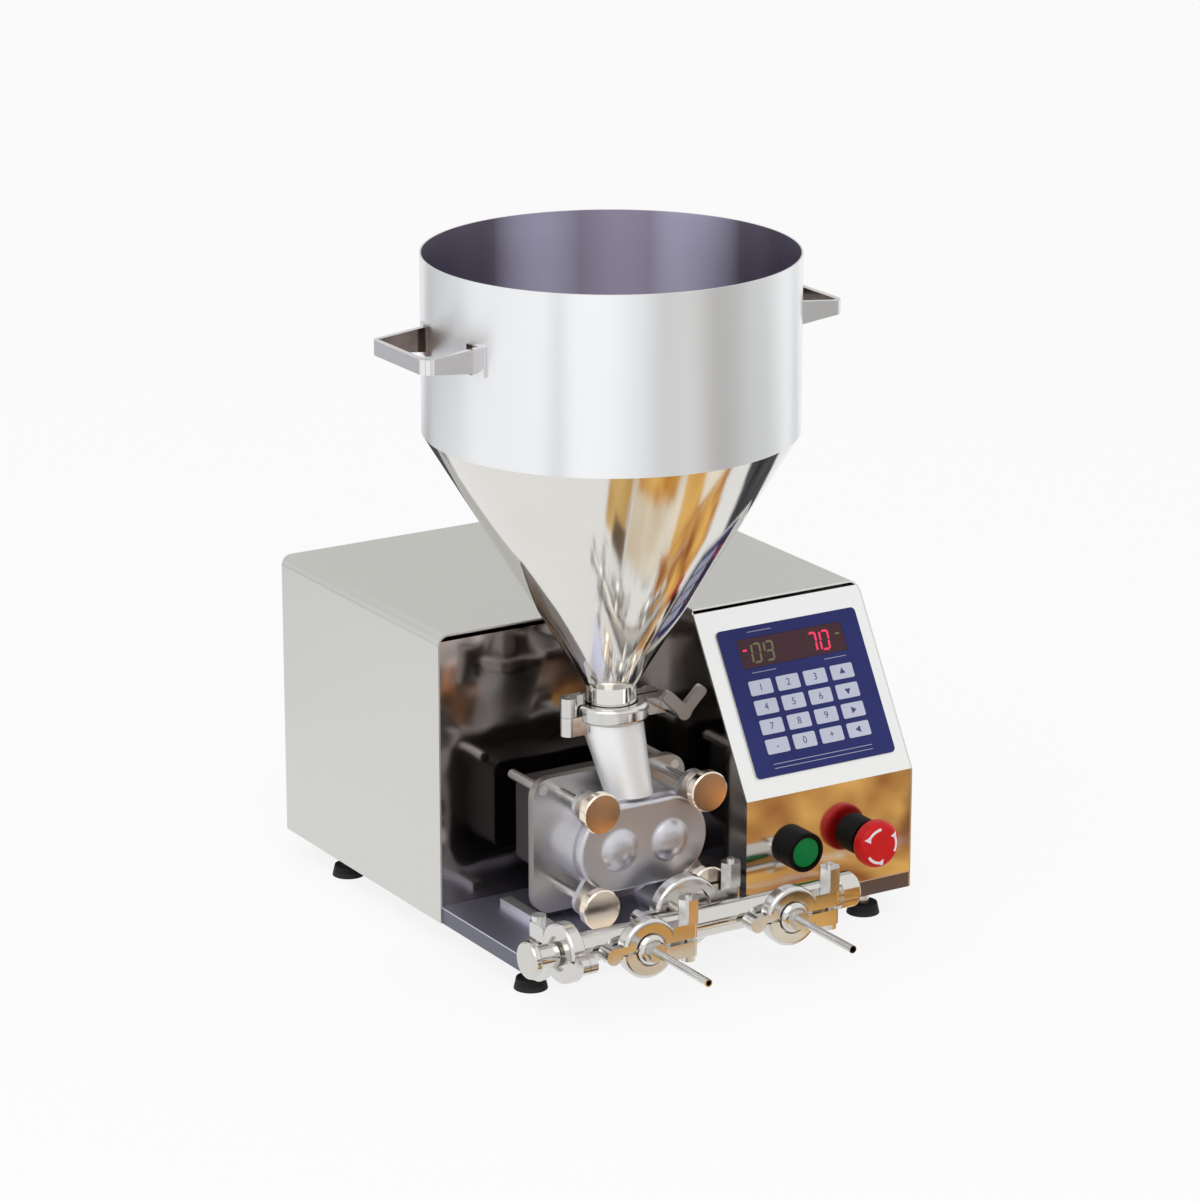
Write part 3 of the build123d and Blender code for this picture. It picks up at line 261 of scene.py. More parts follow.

# Bay wall and pod shell: polished sheet behind the pump, darkened with painted shade, and bright mirror round
# the control pod.
# Rolled sheet is never dead flat, so the mirror wanders a little and carries faint smears.


def polished_steel(name, colour, roughness, wander, waves_per_metre):
    """Buffed stainless steel: a mirror that wanders over the sheet, with hazy smears and buffing lines."""
    finish = Finish(name, {"Metallic": 1.0})
    haze = finish.noise(finish.place, 22.0, 4.0)
    buffing = finish.noise(finish.place, 1600.0)
    waves = finish.noise(finish.place, waves_per_metre, 1.0)
    tone = finish.mix(shade(colour, 0.95), shade(colour, 1.04), haze)
    finish.surface(tone, roughness + 0.07 * haze * haze, waves + 0.004 * buffing, 1.0, wander)
    return finish


# The bay wall's dark colour is painted shade: it stands for the dark that its mirror shows.
bay_painted_shade_colour = (0.25, 0.222, 0.212)
pod_colour = (0.66, 0.645, 0.62)
dress(polished_steel("bay_polish", bay_painted_shade_colour, 0.09, wander=1.5 * mm, waves_per_metre=22.0), "bay_wall")
dress(polished_steel("pod_polish", pod_colour, 0.07, wander=0.35 * mm, waves_per_metre=16.0), "pod_shell")

# Power inlet: a moulded socket snapped into the back panel, with three pins in its recess.
# Black plastic with the fine sparked texture of its mould.
moulded = Finish("black_plastic", {"Specular IOR Level": 0.1})
spark = moulded.noise(moulded.place, 1800.0, 3.0)
tint = moulded.noise(moulded.place, 35.0)
moulded_black = moulded.mix((0.002, 0.0018, 0.002), (0.005, 0.0045, 0.005), tint)
moulded.surface(moulded_black, 0.38 + 0.2 * spark, spark, 0.35)
dress(moulded, "power_inlet")

# Controller board: a printed board on spacers in the cabinet, with a transformer, capacitors and a heat sink.
# Green solder mask with copper runs showing faintly under it.
mask = Finish("solder_mask", {"Coat Weight": 0.25})
run_pattern = {"Vector": mask.place, "Scale": 90.0, "Mortar Size": 0.05}
runs = mask.node("ShaderNodeTexBrick", None, run_pattern, "Fac")
cloudy = mask.noise(mask.place, 120.0, 3.0)
mask_green = mask.mix((0.022, 0.16, 0.075), (0.035, 0.24, 0.11), cloudy)
mask.surface(mask.mix(mask_green, (0.10, 0.30, 0.13), 0.6 * runs), 0.34 + 0.12 * cloudy, runs, 0.2)
dress(mask, "controller_board", "display_board")

# Control face: a satin stainless plate on the pod's slope that carries the keypad.
# It is brushed up the slope and reads nearly white under the lamp.
face_colour = (0.86, 0.865, 0.86)
grain_up_slope = (2200.0, 14.0, 14.0)
dress(satin_steel("face_satin", face_colour, 0.4, grain_up_slope, contrast=0.03), "control_face")

# Membrane keypad: a printed polyester overlay with sixteen raised keys, glued over a circuit sheet
# whose pockets hold the snap domes. The print is blue, with pale keys and plain white rules, whose ends
# and heights are millimetres across and up the face.
face_corner = Vector((64.5, -119.1, 125.0)) * mm
face_rise, face_run = 143.0, 85.0
face_up = Vector((0.0, face_run, face_rise)).normalized()
face_out = Vector((0.0, -face_rise, face_run)).normalized()
key_floor = 1.45 * mm
key_top = 1.9 * mm
overlay_blue = (0.022, 0.028, 0.145)
key_white = (0.60, 0.63, 0.76)
print_white = (0.62, 0.63, 0.72)
rule_width = 0.6 * mm
printed_rules = (
    ((44.0, 68.0), 138.4), ((38.0, 62.0), 104.0), ((110.0, 132.0), 104.0),
    ((34.0, 132.0), 26.0), ((34.0, 132.0), 22.4),
)


def along(finish, start, ways):
    """How far a point lies from a start, measured along each of several directions."""
    offset = finish.node("ShaderNodeVectorMath", {"operation": "SUBTRACT"}, {0: finish.place, 1: start})
    return [
        finish.node("ShaderNodeVectorMath", {"operation": "DOT_PRODUCT"}, {0: offset, 1: way}, "Value")
        for way in ways
    ]


def within(value, limits):
    """1 between two limits, 0 outside them."""
    return (value > limits[0]) * (value < limits[1])


overlay = Finish("overlay_print", {"Specular IOR Level": 0.18})
across, up, out = along(overlay, face_corner, ((1.0, 0.0, 0.0), face_up, face_out))
key_mask = out > key_floor
rules = sum(within(across, (start * mm, end * mm)) * within(up, (level * mm, level * mm + rule_width))
            for (start, end), level in printed_rules)
weave = overlay.noise(overlay.place, 2600.0)
faded = overlay.noise(overlay.place, 25.0, 3.0)
printed = overlay.mix(shade(overlay_blue, 0.85), shade(overlay_blue, 1.2), faded)
printed = overlay.mix(printed, print_white, 0.6 * rules)
key_tone = overlay.mix(shade(key_white, 0.93), key_white, faded)
overlay.surface(overlay.mix(printed, key_tone, key_mask), 0.36 + 0.14 * weave, weave, 0.15)
dress(overlay, "keypad_overlay")

circuit = Finish("circuit_film", {"Coat Weight": 0.1})
tracks = circuit.node("ShaderNodeTexBrick", None, {"Vector": circuit.place, "Scale": 160.0}, "Fac")
track_tone = circuit.mix((0.66, 0.62, 0.50), (0.45, 0.45, 0.45), 0.5 * tracks)
circuit.surface(track_tone, 0.5 - 0.1 * tracks, tracks, 0.1)
dress(circuit, "keypad_circuit")
dome_colour = (0.75, 0.75, 0.74)
dome_grain = (1200.0, 1200.0, 1200.0)
dress(satin_steel("dome_steel", dome_colour, 0.2, dome_grain, contrast=0.08), "snap_domes")

# Key legends: plain numbers, signs and arrowheads printed on the keys in dark blue ink.
# Each stands a hair above its key, as screen ink does.
face_place = Matrix((Vector((1.0, 0.0, 0.0)), face_up, face_out)).transposed().to_4x4()
face_place.translation = face_corner
key_columns = (42.5, 69.5, 96.5, 123.5)
key_rows = (91.4, 74.6, 57.8, 41.0)
key_signs = (
    ("1", "2", "3", "up"), ("4", "5", "6", "down"), ("7", "8", "9", "right"), ("-", "0", "+", "left"),
)
arrow_turns = {"left": 90, "right": -90, "up": 0, "down": 180}
legend_height = 8.5 * mm
arrow_radius = 3.4 * mm
arrow_clip = 0.5 * mm
ink_thickness = 0.04 * mm


def deselect():
    """Leaves nothing selected, so that the next operator acts on its own piece alone."""
    bpy.ops.object.select_all(action="DESELECT")


def settle(piece, place):
    """Puts a piece in its place and leaves its object at the origin."""
    deselect()
    piece.select_set(True)
    bpy.context.view_layer.objects.active = piece
    piece.matrix_world = place
    bpy.ops.object.transform_apply(location=True, rotation=True, scale=True)


def join(pieces, name):
    """Makes one piece of several."""
    deselect()
    for piece in pieces:
        piece.select_set(True)
    bpy.context.view_layer.objects.active = pieces[0]
    bpy.ops.object.join()
    pieces[0].name = name
    return pieces[0]


def raise_sheet(height):
    """Gives the flat mesh that is being edited a thickness along its own z."""
    bpy.ops.mesh.select_all(action="SELECT")
    bpy.ops.mesh.extrude_region_move(TRANSFORM_OT_translate={"value": (0.0, 0.0, height)})
    bpy.ops.mesh.select_all(action="SELECT")
    bpy.ops.mesh.normals_make_consistent(inside=False)
    bpy.ops.object.mode_set(mode="OBJECT")


def printed_sign(sign):
    """A number or plus or minus sign, flat on the table, as a thin mesh."""
    deselect()
    bpy.ops.object.text_add()
    piece = bpy.context.object
    piece.data.body = sign
    piece.data.size = legend_height
    piece.data.align_x = "CENTER"
    piece.data.align_y = "CENTER"
    piece.data.extrude = ink_thickness / 2
    bpy.ops.object.convert(target="MESH")
    return bpy.context.object


def printed_arrow(turn):
    """An arrowhead with clipped corners, flat on the table, turned to its direction."""
    deselect()
    bpy.ops.mesh.primitive_circle_add(vertices=3, radius=arrow_radius, fill_type="NGON")
    piece = bpy.context.object
    bpy.ops.object.mode_set(mode="EDIT")
    bpy.ops.mesh.bevel(offset=arrow_clip, segments=3, affect="VERTICES")
    raise_sheet(ink_thickness)
    settle(piece, Matrix.Rotation(math.radians(turn), 4, "Z"))
    return piece


legends = []
for row, up_slope in zip(key_signs, key_rows):
    for sign, sideways in zip(row, key_columns):
        mark = printed_arrow(arrow_turns[sign]) if sign in arrow_turns else printed_sign(sign)
        settle(mark, face_place @ Matrix.Translation((sideways * mm, up_slope * mm, key_top + ink_thickness)))
        legends.append(mark)
key_legends = join(legends, "key_legends")
ink = Finish("legend_ink", {"Specular IOR Level": 0.3})
screen = ink.noise(ink.place, 1500.0)
ink.surface(ink.mix((0.045, 0.05, 0.17), (0.08, 0.085, 0.22), screen), 0.5 + 0.1 * screen, screen, 0.1)
key_legends.data.materials.clear()
key_legends.data.materials.append(ink.material)
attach(key_legends, "machine")

# Display: a red-tinted window in the keypad over two pairs of seven-segment digits.
# The left pair glows a dull green and the right pair red; the dark segments just show, and a small
# lamp mark at each end has the colour of the pair at the other end.
window_top = 1.2 * mm
digit_height = 15.5 * mm
digit_width = 8.0 * mm
segment_width = 1.9 * mm
segment_gap = 0.35 * mm
digit_pitch = 12.5 * mm
digit_middle_up = 120.5 * mm
digit_lean = math.radians(7)
mark_length, mark_width = 4.5 * mm, 1.7 * mm
mark_up = 124.0 * mm
segment_thickness = 0.06 * mm
segments_of = {"0": "abcdef", "7": "abc", "9": "abcdfg"}
digit_pairs = (("left", "09", 54.0 * mm), ("right", "70", 109.5 * mm))
lamp_marks = (("right", 37.5 * mm), ("left", 129.5 * mm))
lens = Finish("window_tint", {"Specular IOR Level": 0.3})
smoke = lens.noise(lens.place, 30.0, 3.0)
lens.surface(lens.mix((0.040, 0.010, 0.018), (0.066, 0.014, 0.026), smoke), 0.14 + 0.08 * smoke, smoke, 0.05)
dress(lens, "display_window")


def pick(piece, test):
    """Starts editing a piece with only those vertices selected whose place passes a test."""
    bpy.ops.object.mode_set(mode="EDIT")
    bpy.ops.mesh.select_mode(type="VERT")
    bpy.ops.mesh.select_all(action="DESELECT")
    bpy.ops.object.mode_set(mode="OBJECT")
    for vertex in piece.data.vertices:
        vertex.select = test(vertex.co)
    bpy.ops.object.mode_set(mode="EDIT")


def segment_bar(length, width=segment_width):
    """One upright display segment with pointed ends, flat on the table."""
    deselect()
    end_radius = width / math.sqrt(3)
    bpy.ops.mesh.primitive_circle_add(vertices=6, radius=end_radius, fill_type="NGON")
    piece = bpy.context.object
    for side in (1, -1):
        pick(piece, lambda spot: spot.y * side > 0)
        bpy.ops.transform.translate(value=(0.0, side * (length / 2 - end_radius), 0.0))
        bpy.ops.object.mode_set(mode="OBJECT")
    bpy.ops.object.mode_set(mode="EDIT")
    raise_sheet(segment_thickness)
    return piece


def segment_places(sideways):
    """Letter, place and length of each of a digit's seven segments."""
    quarter_height = digit_height / 4
    lean = Matrix.Identity(4)
    lean[0][1] = math.tan(digit_lean)
    spots = {
        "a": (0, 2, 90), "b": (1, 1, 0), "c": (1, -1, 0), "d": (0, -2, 90),
        "e": (-1, -1, 0), "f": (-1, 1, 0), "g": (0, 0, 90),
    }
    for letter, (column, level, turn) in spots.items():
        spot = Matrix.Translation((column * digit_width / 2, level * quarter_height, 0.0))
        length = (digit_width if turn else digit_height / 2) - segment_gap
        here = Matrix.Translation((sideways, digit_middle_up, window_top))
        yield letter, here @ lean @ spot @ Matrix.Rotation(math.radians(turn), 4, "Z"), length


lit = {"left": [], "right": []}
dark_segments = []
for pair, number, middle in digit_pairs:
    for step, figure in zip((-0.5, 0.5), number):
        for letter, place, length in segment_places(middle + step * digit_pitch):
            bar = segment_bar(length)
            settle(bar, face_place @ place)
            (lit[pair] if letter in segments_of[figure] else dark_segments).append(bar)
for pair, sideways in lamp_marks:
    lamp_mark = segment_bar(mark_length, mark_width)
    spot = Matrix.Translation((sideways, mark_up, window_top)) @ Matrix.Rotation(math.pi / 2, 4, "Z")
    settle(lamp_mark, face_place @ spot)
    lit[pair].append(lamp_mark)
display_colours = {
    "left": ("display_green", (0.090, 0.094, 0.036)),
    "right": ("display_red", (0.74, 0.022, 0.085)),
    "off": ("display_off", (0.012, 0.002, 0.004)),
}
for pair, bars in (*lit.items(), ("off", dark_segments)):
    name, glow = display_colours[pair]
    digits = join(bars, "digits_" + pair)
    light = Finish(name, {"Emission Strength": 1.0})
    grains = light.noise(light.place, 900.0)
    light.surface(shade(glow, 0.5), 0.3 + 0.1 * grains)
    light.plug(light.shader.inputs["Emission Color"], light.mix(shade(glow, 0.85), glow, grains))
    digits.data.materials.append(light.material)
    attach(digits, "machine")

# Start button: a green plunger in a deep black collar, nutted through the pod's lower front.
# Both are moulded; the plunger is smooth and slightly clouded inside.
dress(moulded, "start_collar", "stop_collar", "stop_stem", "switch_blocks")
green = Finish("start_green", {"Specular IOR Level": 0.16})
milky = green.noise(green.place, 140.0, 3.0)
plunger_green = green.mix((0.0005, 0.185, 0.042), (0.002, 0.235, 0.060), milky)
green.surface(plunger_green, 0.30 + 0.1 * milky, milky, 0.08)
dress(green, "start_button")

# Emergency stop: a red mushroom head that is pushed in and released by a twist.
# Gloss moulded plastic, with three white curved arrows printed on its face.
red = Finish("stop_red", {"Specular IOR Level": 0.2})
flow = red.noise(red.place, 120.0, 3.0)
red.surface(red.mix((0.56, 0.008, 0.011), (0.68, 0.012, 0.015), flow), 0.24 + 0.1 * flow, flow, 0.06)
dress(red, "stop_head")

head_middle = centre_of("stop_head")
head_front_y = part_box("stop_head")[0].y
arrow_ring = 14.6 * mm
arrow_line = 2.3 * mm
arrow_tip = 6.4 * mm
arrow_arc = math.radians(58)
arrow_print = 0.06 * mm
arrow_lead = 3.0 * mm
first_arrow = 150
arc_steps = 24
line_cuts = 3
tip_cuts = 5


def curved_arrow():
    """One arrow bent round the head's middle, flat on the table: a swept line and a broad tip."""
    deselect()
    bpy.ops.mesh.primitive_plane_add(size=arrow_line, location=(arrow_ring, 0.0, 0.0))
    line = bpy.context.object
    bpy.ops.object.transform_apply(location=True)
    bpy.ops.object.mode_set(mode="EDIT")
    bpy.ops.mesh.delete(type="ONLY_FACE")
    pick(line, lambda spot: spot.y < 0)
    bpy.ops.mesh.delete(type="VERT")
    bpy.ops.mesh.select_all(action="SELECT")
    bpy.ops.transform.translate(value=(0.0, -arrow_line / 2, 0.0))
    bpy.ops.mesh.subdivide(number_cuts=line_cuts)
    bpy.ops.mesh.select_all(action="SELECT")
    bpy.ops.mesh.spin(steps=arc_steps, angle=arrow_arc, center=(0.0, 0.0, 0.0), axis=(0.0, 0.0, 1.0))
    bpy.ops.object.mode_set(mode="OBJECT")
    deselect()
    bpy.ops.mesh.primitive_circle_add(vertices=3, radius=arrow_tip / math.sqrt(3), fill_type="TRIFAN")
    tip = bpy.context.object
    bpy.ops.object.mode_set(mode="EDIT")
    bpy.ops.mesh.subdivide(number_cuts=tip_cuts)
    bpy.ops.object.mode_set(mode="OBJECT")
    settle(tip, Matrix.Translation((arrow_ring, 0.0, 0.0)) @ Matrix.Rotation(math.pi, 4, "Z"))
    return join([line, tip], "stop_arrow")


def shape(piece, kind, **settings):
    """Adds a modifier to a piece and applies it."""
    deselect()
    bpy.context.view_layer.objects.active = piece
    piece.select_set(True)
    modifier = piece.modifiers.new(kind, kind)
    for name, value in settings.items():
        setattr(modifier, name, value)
    bpy.ops.object.modifier_apply(modifier=modifier.name)


arrows = []
head_spot = Vector((head_middle.x, head_front_y, head_middle.z))
head_front = Matrix.Translation(head_spot) @ Matrix.Rotation(math.pi / 2, 4, "X")
for step in range(3):
    arrow = curved_arrow()
    turn = Matrix.Rotation(math.radians(first_arrow + 120 * step), 4, "Z")
    settle(arrow, head_front @ Matrix.Translation((0.0, 0.0, arrow_lead)) @ turn)
    arrows.append(arrow)
stop_arrows = join(arrows, "stop_arrows")
shape(stop_arrows, "SHRINKWRAP", target=nodes["stop_head"], wrap_method="PROJECT", use_project_y=True,
      use_negative_direction=False, use_positive_direction=True, offset=arrow_print)
shape(stop_arrows, "SOLIDIFY", thickness=arrow_print, offset=0.0)
white_print = Finish("white_print", {"Specular IOR Level": 0.35})
thin = white_print.noise(white_print.place, 700.0)
arrow_white = white_print.mix((0.78, 0.74, 0.74), (0.88, 0.86, 0.86), thin)
white_print.surface(arrow_white, 0.42 + 0.1 * thin, thin, 0.1)
stop_arrows.data.materials.append(white_print.material)
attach(stop_arrows, "stop_head")

# Pump stand: a thick stainless plate on two foot rails, with two pegs behind its upper corners.
# Ground flat on its faces; the plate stands on the tray and carries the pump's studs.
# The plate's darker colour, beside the bright pegs and rails of the same ground steel, is painted shade.
plate_shaded_colour = (0.50, 0.48, 0.46)
peg_colour = (0.78, 0.775, 0.77)
rail_colour = (0.82, 0.815, 0.81)
ground_up = (1800.0, 1800.0, 16.0)
ground_back = (1800.0, 16.0, 1800.0)
dress(satin_steel("plate_ground", plate_shaded_colour, 0.32, ground_up, contrast=0.08), "pump_plate")
dress(satin_steel("peg_ground", peg_colour, 0.36, ground_back, contrast=0.08), "plate_pegs")
dress(satin_steel("rail_ground", rail_colour, 0.5, ground_back, contrast=0.08), "foot_rails")

# Pump body and front cover: stainless castings, bead-blasted and then rubbed to an even satin.
# The cover has a dome over each rotor nut and an ear at each stud.


def cast_steel(name, colour, roughness, depth=0.18):
    """Cast stainless steel: a soft fine grain, and a slow change of tone where it was rubbed."""
    finish = Finish(name, {"Metallic": 1.0})
    bead = finish.noise(finish.place, 1500.0, 3.0)
    rubbed = finish.noise(finish.place, 28.0, 3.0)
    tone = finish.mix(shade(colour, 0.92), shade(colour, 1.07), 0.7 * rubbed + 0.3 * bead)
    finish.surface(tone, roughness + 0.1 * (rubbed - 0.5) + 0.06 * (bead - 0.5), bead, depth)
    return finish


pump_colour = (0.60, 0.595, 0.635)
dress(cast_steel("pump_cast", pump_colour, 0.36), "pump_body", "front_cover")

# Seals: the cover's ring, the shafts' lip seals and the flat gaskets in the clamps.
# Off-white food silicone with a slight cloud.
silicone = Finish("seal_silicone", {"Subsurface Weight": 0.15, "Specular IOR Level": 0.4})
cloud = silicone.noise(silicone.place, 90.0, 3.0)
silicone.surface(silicone.mix((0.70, 0.68, 0.64), (0.80, 0.785, 0.75), cloud), 0.4 + 0.12 * cloud, cloud, 0.1)
dress(silicone, "cover_seal", "shaft_seals", "clamp_gaskets")

# Studs and hand knobs: four studs through the plate, and the round knobs that hold the cover on.
# Turned bar; the knobs' faces are polished and keep the rings of the lathe.
# The knobs' warm copper tint is partly painted reflection: the golden light that their polished steel shows.
knob_steel_and_reflection_colour = (0.88, 0.78, 0.66)
dress(bright, "cover_studs")
for corner in ("upper_left", "upper_right", "lower_left", "lower_right"):
    knob = "knob_" + corner
    dress(turned_steel(knob + "_turned", knob_steel_and_reflection_colour, 0.16, centre_of(knob), pitch=0.5 * mm), knob)

# Inlet tube: a leaning stainless casting from the hopper's clamp to the top of the pump.
# Bead-blasted to a soft white satin.
inlet_colour = (0.90, 0.905, 0.915)
dress(cast_steel("inlet_blasted", inlet_colour, 0.5, depth=0.25), "inlet_tube")

# Hopper band: rolled sheet, brushed round and round, its bottom edge welded to the cone and ground
# flush. The brushing draws light into upright bands outside; inside, upright light bands and darker sides are
# painted light and shade.
hopper_axis = (-35.5 * mm, -69.1 * mm)
inner_wall = 149.8 * mm
outer_tones = ((0.84, 0.855, 0.87), (0.91, 0.92, 0.93))
inside_painted_tones = ((0.235, 0.205, 0.265), (0.42, 0.385, 0.52), (0.74, 0.73, 0.95))
painted_lit_side = (57, 46)
painted_light_bands = ((83, 15), (30, 16))
band = Finish("hopper_satin", {"Metallic": 1.0, "Anisotropic": 0.8, "Anisotropic Rotation": 0.25})
from_axis = [band.axis(name) - offset for name, offset in zip("XY", hopper_axis)]
band_radius = (from_axis[0] * from_axis[0] + from_axis[1] * from_axis[1]) ** 0.5
bearing = band.node("ShaderNodeMath", {"operation": "ARCTAN2"}, {0: from_axis[1], 1: from_axis[0]})


def painted_band(middle, reach):
    """1 at a bearing round the hopper's axis, falling to 0 this many degrees away; it places painted light
    inside the band.
    """
    offset = (bearing - math.radians(middle)) * (1 / math.radians(reach))
    return band.node("ShaderNodeMath", {"operation": "MAXIMUM"}, {0: 1.0 - offset * offset, 1: 0.0})


strokes = band.noise(band.stretched((9.0, 9.0, 2600.0)), 1.0, 3.0)
cloud = band.noise(band.stretched((14.0, 14.0, 2.0)), 1.0)
brushed = 0.5 * strokes + 0.5 * cloud
# Inside the band the colour is painted light and shade: a shaded dark, a half-lit side and two painted
# highlight bands, by bearing.
inside_shade_tone, inside_half_lit_tone, inside_highlight_tone = [band.mix(shade(tone, 0.93), shade(tone, 1.07), brushed) for tone in inside_painted_tones]
inside_painted_light = band.mix(inside_shade_tone, inside_half_lit_tone, painted_band(*painted_lit_side))
for painted_band_spot in painted_light_bands:
    inside_painted_light = band.mix(inside_painted_light, inside_highlight_tone, painted_band(*painted_band_spot))
inside = band_radius < inner_wall
band_tone = band.mix(band.mix(*outer_tones, brushed), inside_painted_light, inside)
band.surface(band_tone, 0.3 + 0.08 * inside + 0.1 * (strokes - 0.5), strokes, 0.1)
dress(band, "hopper_band")

# Hopper cone and its neck: spun sheet, buffed to a mirror outside, with a clamp flange at its foot.
# Spinning leaves slow ripples, so the mirror draws what it shows into streaks.
cone_colour = (0.74, 0.725, 0.69)
hopper_polish = polished_steel("hopper_polish", cone_colour, 0.06, wander=0.55 * mm, waves_per_metre=13.0)
dress(hopper_polish, "hopper_cone")

# Hopper handles: flat bar bent twice and welded to pads on the hopper's sides.
# Polished outside, with a short grain along the bar, and dark brown inside the loop: painted shade.
loop_reach, loop_half_width = 189.2 * mm, 38.2 * mm
handle = Finish("handle_polish", {"Metallic": 1.0})
short_grain = handle.noise(handle.stretched((60.0, 60.0, 1500.0)), 1.0, 3.0)
loop_shade_mottle = handle.noise(handle.place, 60.0, 3.0)
reach_x, reach_y = [abs(handle.axis(name) - offset) for name, offset in zip("XY", hopper_axis)]
# Inside the loop the colour is painted shade: a mottled dark brown.
painted_shade_loop = (reach_x < loop_reach) * (reach_y < loop_half_width)
outside = handle.mix((0.78, 0.765, 0.775), (0.88, 0.865, 0.875), short_grain)
loop_painted_shade = handle.mix((0.10, 0.075, 0.065), (0.30, 0.24, 0.21), loop_shade_mottle)
handle.surface(handle.mix(outside, loop_painted_shade, painted_shade_loop), 0.14 + 0.06 * short_grain, short_grain, 0.12)
dress(handle, "hopper_handles")

# Clamps: hinged half rings drawn together by a swing bolt, with a wing nut at the hopper and plain
# hexagon nuts on the manifold. Investment castings, polished but for the wing nut, and bright fasteners.
clamp_colour = (0.66, 0.648, 0.63)
wing_colour = (0.42, 0.405, 0.39)
clamp_polish = polished_steel("clamp_polish", clamp_colour, 0.14, wander=0.12 * mm, waves_per_metre=60.0)
dress(clamp_polish, "hopper_clamp_front", "hopper_clamp_back", "manifold_clamps")
dress(cast_steel("wing_cast", wing_colour, 0.26), "hopper_wing_nut")
dress(bright, "clamp_nuts", "clamp_bolts_and_pins")

# Manifold, end plug and nozzle caps: polished tube and turned fittings that lead cream to the needles.
# Welds are ground flush and buffed with the rest.
fitting_colour = (0.65, 0.632, 0.60)
fitting_polish = polished_steel("fitting_polish", fitting_colour, 0.1, wander=0.1 * mm, waves_per_metre=50.0)
dress(fitting_polish, "manifold", "end_plug", "nozzle_caps")

# Needles: thin drawn stainless tubes, screwed into the caps on small hexagons and cut aslant at the tip.
# Drawing leaves a fine grain along them.
needle_colour = (0.66, 0.655, 0.64)
drawn_back = (1800.0, 12.0, 1800.0)
dress(satin_steel("needle_drawn", needle_colour, 0.2, drawn_back, contrast=0.1), "needles")

# The place it stands: a pale floor that runs to a white background.
# Both show white to the camera and in mirrors, and light the machine at a plain level.
floor_size = 14.0
floor_white = 0.88
white_share = 0.86
ambient = 0.72


def backdrop_rays(wiring):
    """1 for rays that show the background: to the camera, in a mirror or through glass."""
    path = wiring.tree.nodes.new("ShaderNodeLightPath")
    camera, mirror, through = [
        Wire(wiring, path.outputs[name]) for name in ("Is Camera Ray", "Is Glossy Ray", "Is Transmission Ray")
    ]
    return wiring.node("ShaderNodeMath", {"operation": "MINIMUM"}, {0: camera + mirror + through, 1: 1.0})


deselect()
bpy.ops.mesh.primitive_plane_add(size=floor_size)
floor = bpy.context.object
floor.name = "floor"
ground = Finish("pale_floor", {"Specular IOR Level": 0.0})
ground.surface((floor_white,) * 3, 0.9)
plain_white = ground.node("ShaderNodeEmission", None, {"Color": (1.0, 1.0, 1.0), "Strength": 1.0})
lit_floor = Wire(ground, ground.shader.outputs[0])
floor_blend = {0: white_share * backdrop_rays(ground), 1: lit_floor, 2: plain_white}
shown = ground.node("ShaderNodeMixShader", None, floor_blend)
ground.plug(ground.tree.nodes["Material Output"].inputs["Surface"], shown)
floor.data.materials.append(ground.material)

world = bpy.data.worlds.new("studio")
bpy.context.scene.world = world
world.use_nodes = True
air = Wiring(world.node_tree)
sky = world.node_tree.nodes["Background"].inputs
air.plug(sky["Color"], (1.0, 1.0, 1.0))
air.plug(sky["Strength"], ambient + (1 - ambient) * backdrop_rays(air))


# Cards round the machine that only mirrors see, which stand for the rest of a workshop: dark and golden ones
# near it for the polished steel, and grey ones far off that give the satin steel its soft bands.
# Their colour is patchy and their edges are ragged, so that no mirror shows a straight border.
patch_contrast = 3.0
edge_fineness = 3.5
edge_middle = 0.45
edge_wander = 1.6
edge_rise = 5.0
card_lift = 0.5


def card(name, tones, place, size, patches_per_metre=9.0):
    """A card of a size in millimetres, patchy in colour between two tones, which only mirrors see."""
    deselect()
    bpy.ops.mesh.primitive_plane_add(size=1.0)
    sheet = bpy.context.object
    sheet.name = name
    settle(sheet, place @ Matrix.Diagonal((size[0] * mm, size[1] * mm, 1.0, 1.0)))
    finish = Finish(name + "_colour", {"Specular IOR Level": 0.0})
    patches = (finish.noise(finish.place, patches_per_metre) - 0.5) * patch_contrast + 0.5
    light = finish.node("ShaderNodeEmission", None, {"Color": finish.mix(*tones, patches), "Strength": 1.0})
    offsets = along(finish, place.translation, [column.to_3d() for column in place.col[:2]])
    reach_across, reach_up = [abs(offset) * (2 / (length * mm)) for offset, length in zip(offsets, size)]
    rim = 1.0 - finish.node("ShaderNodeMath", {"operation": "MAXIMUM"}, {0: reach_across, 1: reach_up})
    tatters = finish.noise(finish.place, edge_fineness * patches_per_metre)
    ragged = (tatters - edge_middle) * edge_wander + edge_rise * rim
    cover = finish.node("ShaderNodeClamp", None, {"Value": ragged})
    clear = finish.node("ShaderNodeBsdfTransparent")
    shown = finish.node("ShaderNodeMixShader", None, {0: cover, 1: clear, 2: light})
    finish.plug(finish.tree.nodes["Material Output"].inputs["Surface"], shown)
    sheet.data.materials.append(finish.material)
    sheet.visible_camera = False
    sheet.visible_diffuse = False
    sheet.visible_shadow = False
    sheet.visible_transmission = False


def lying(across, back, lift=card_lift, turn=0.0):
    """A place flat on the table, in millimetres, turned by so many degrees."""
    spot = Matrix.Translation((across * mm, back * mm, lift * mm))
    return spot @ Matrix.Rotation(math.radians(turn), 4, "Z")


def far_off(heading, distance):
    """A place flat on the floor, so many degrees round from +X and so many millimetres off."""
    turn = Matrix.Rotation(math.radians(heading), 4, "Z")
    return turn @ Matrix.Translation((distance * mm, 0.0, card_lift * mm))


def standing(across, back, height):
    """A place upright across the machine, in millimetres."""
    return Matrix.Translation((across * mm, back * mm, height * mm)) @ Matrix.Rotation(math.pi / 2, 4, "X")


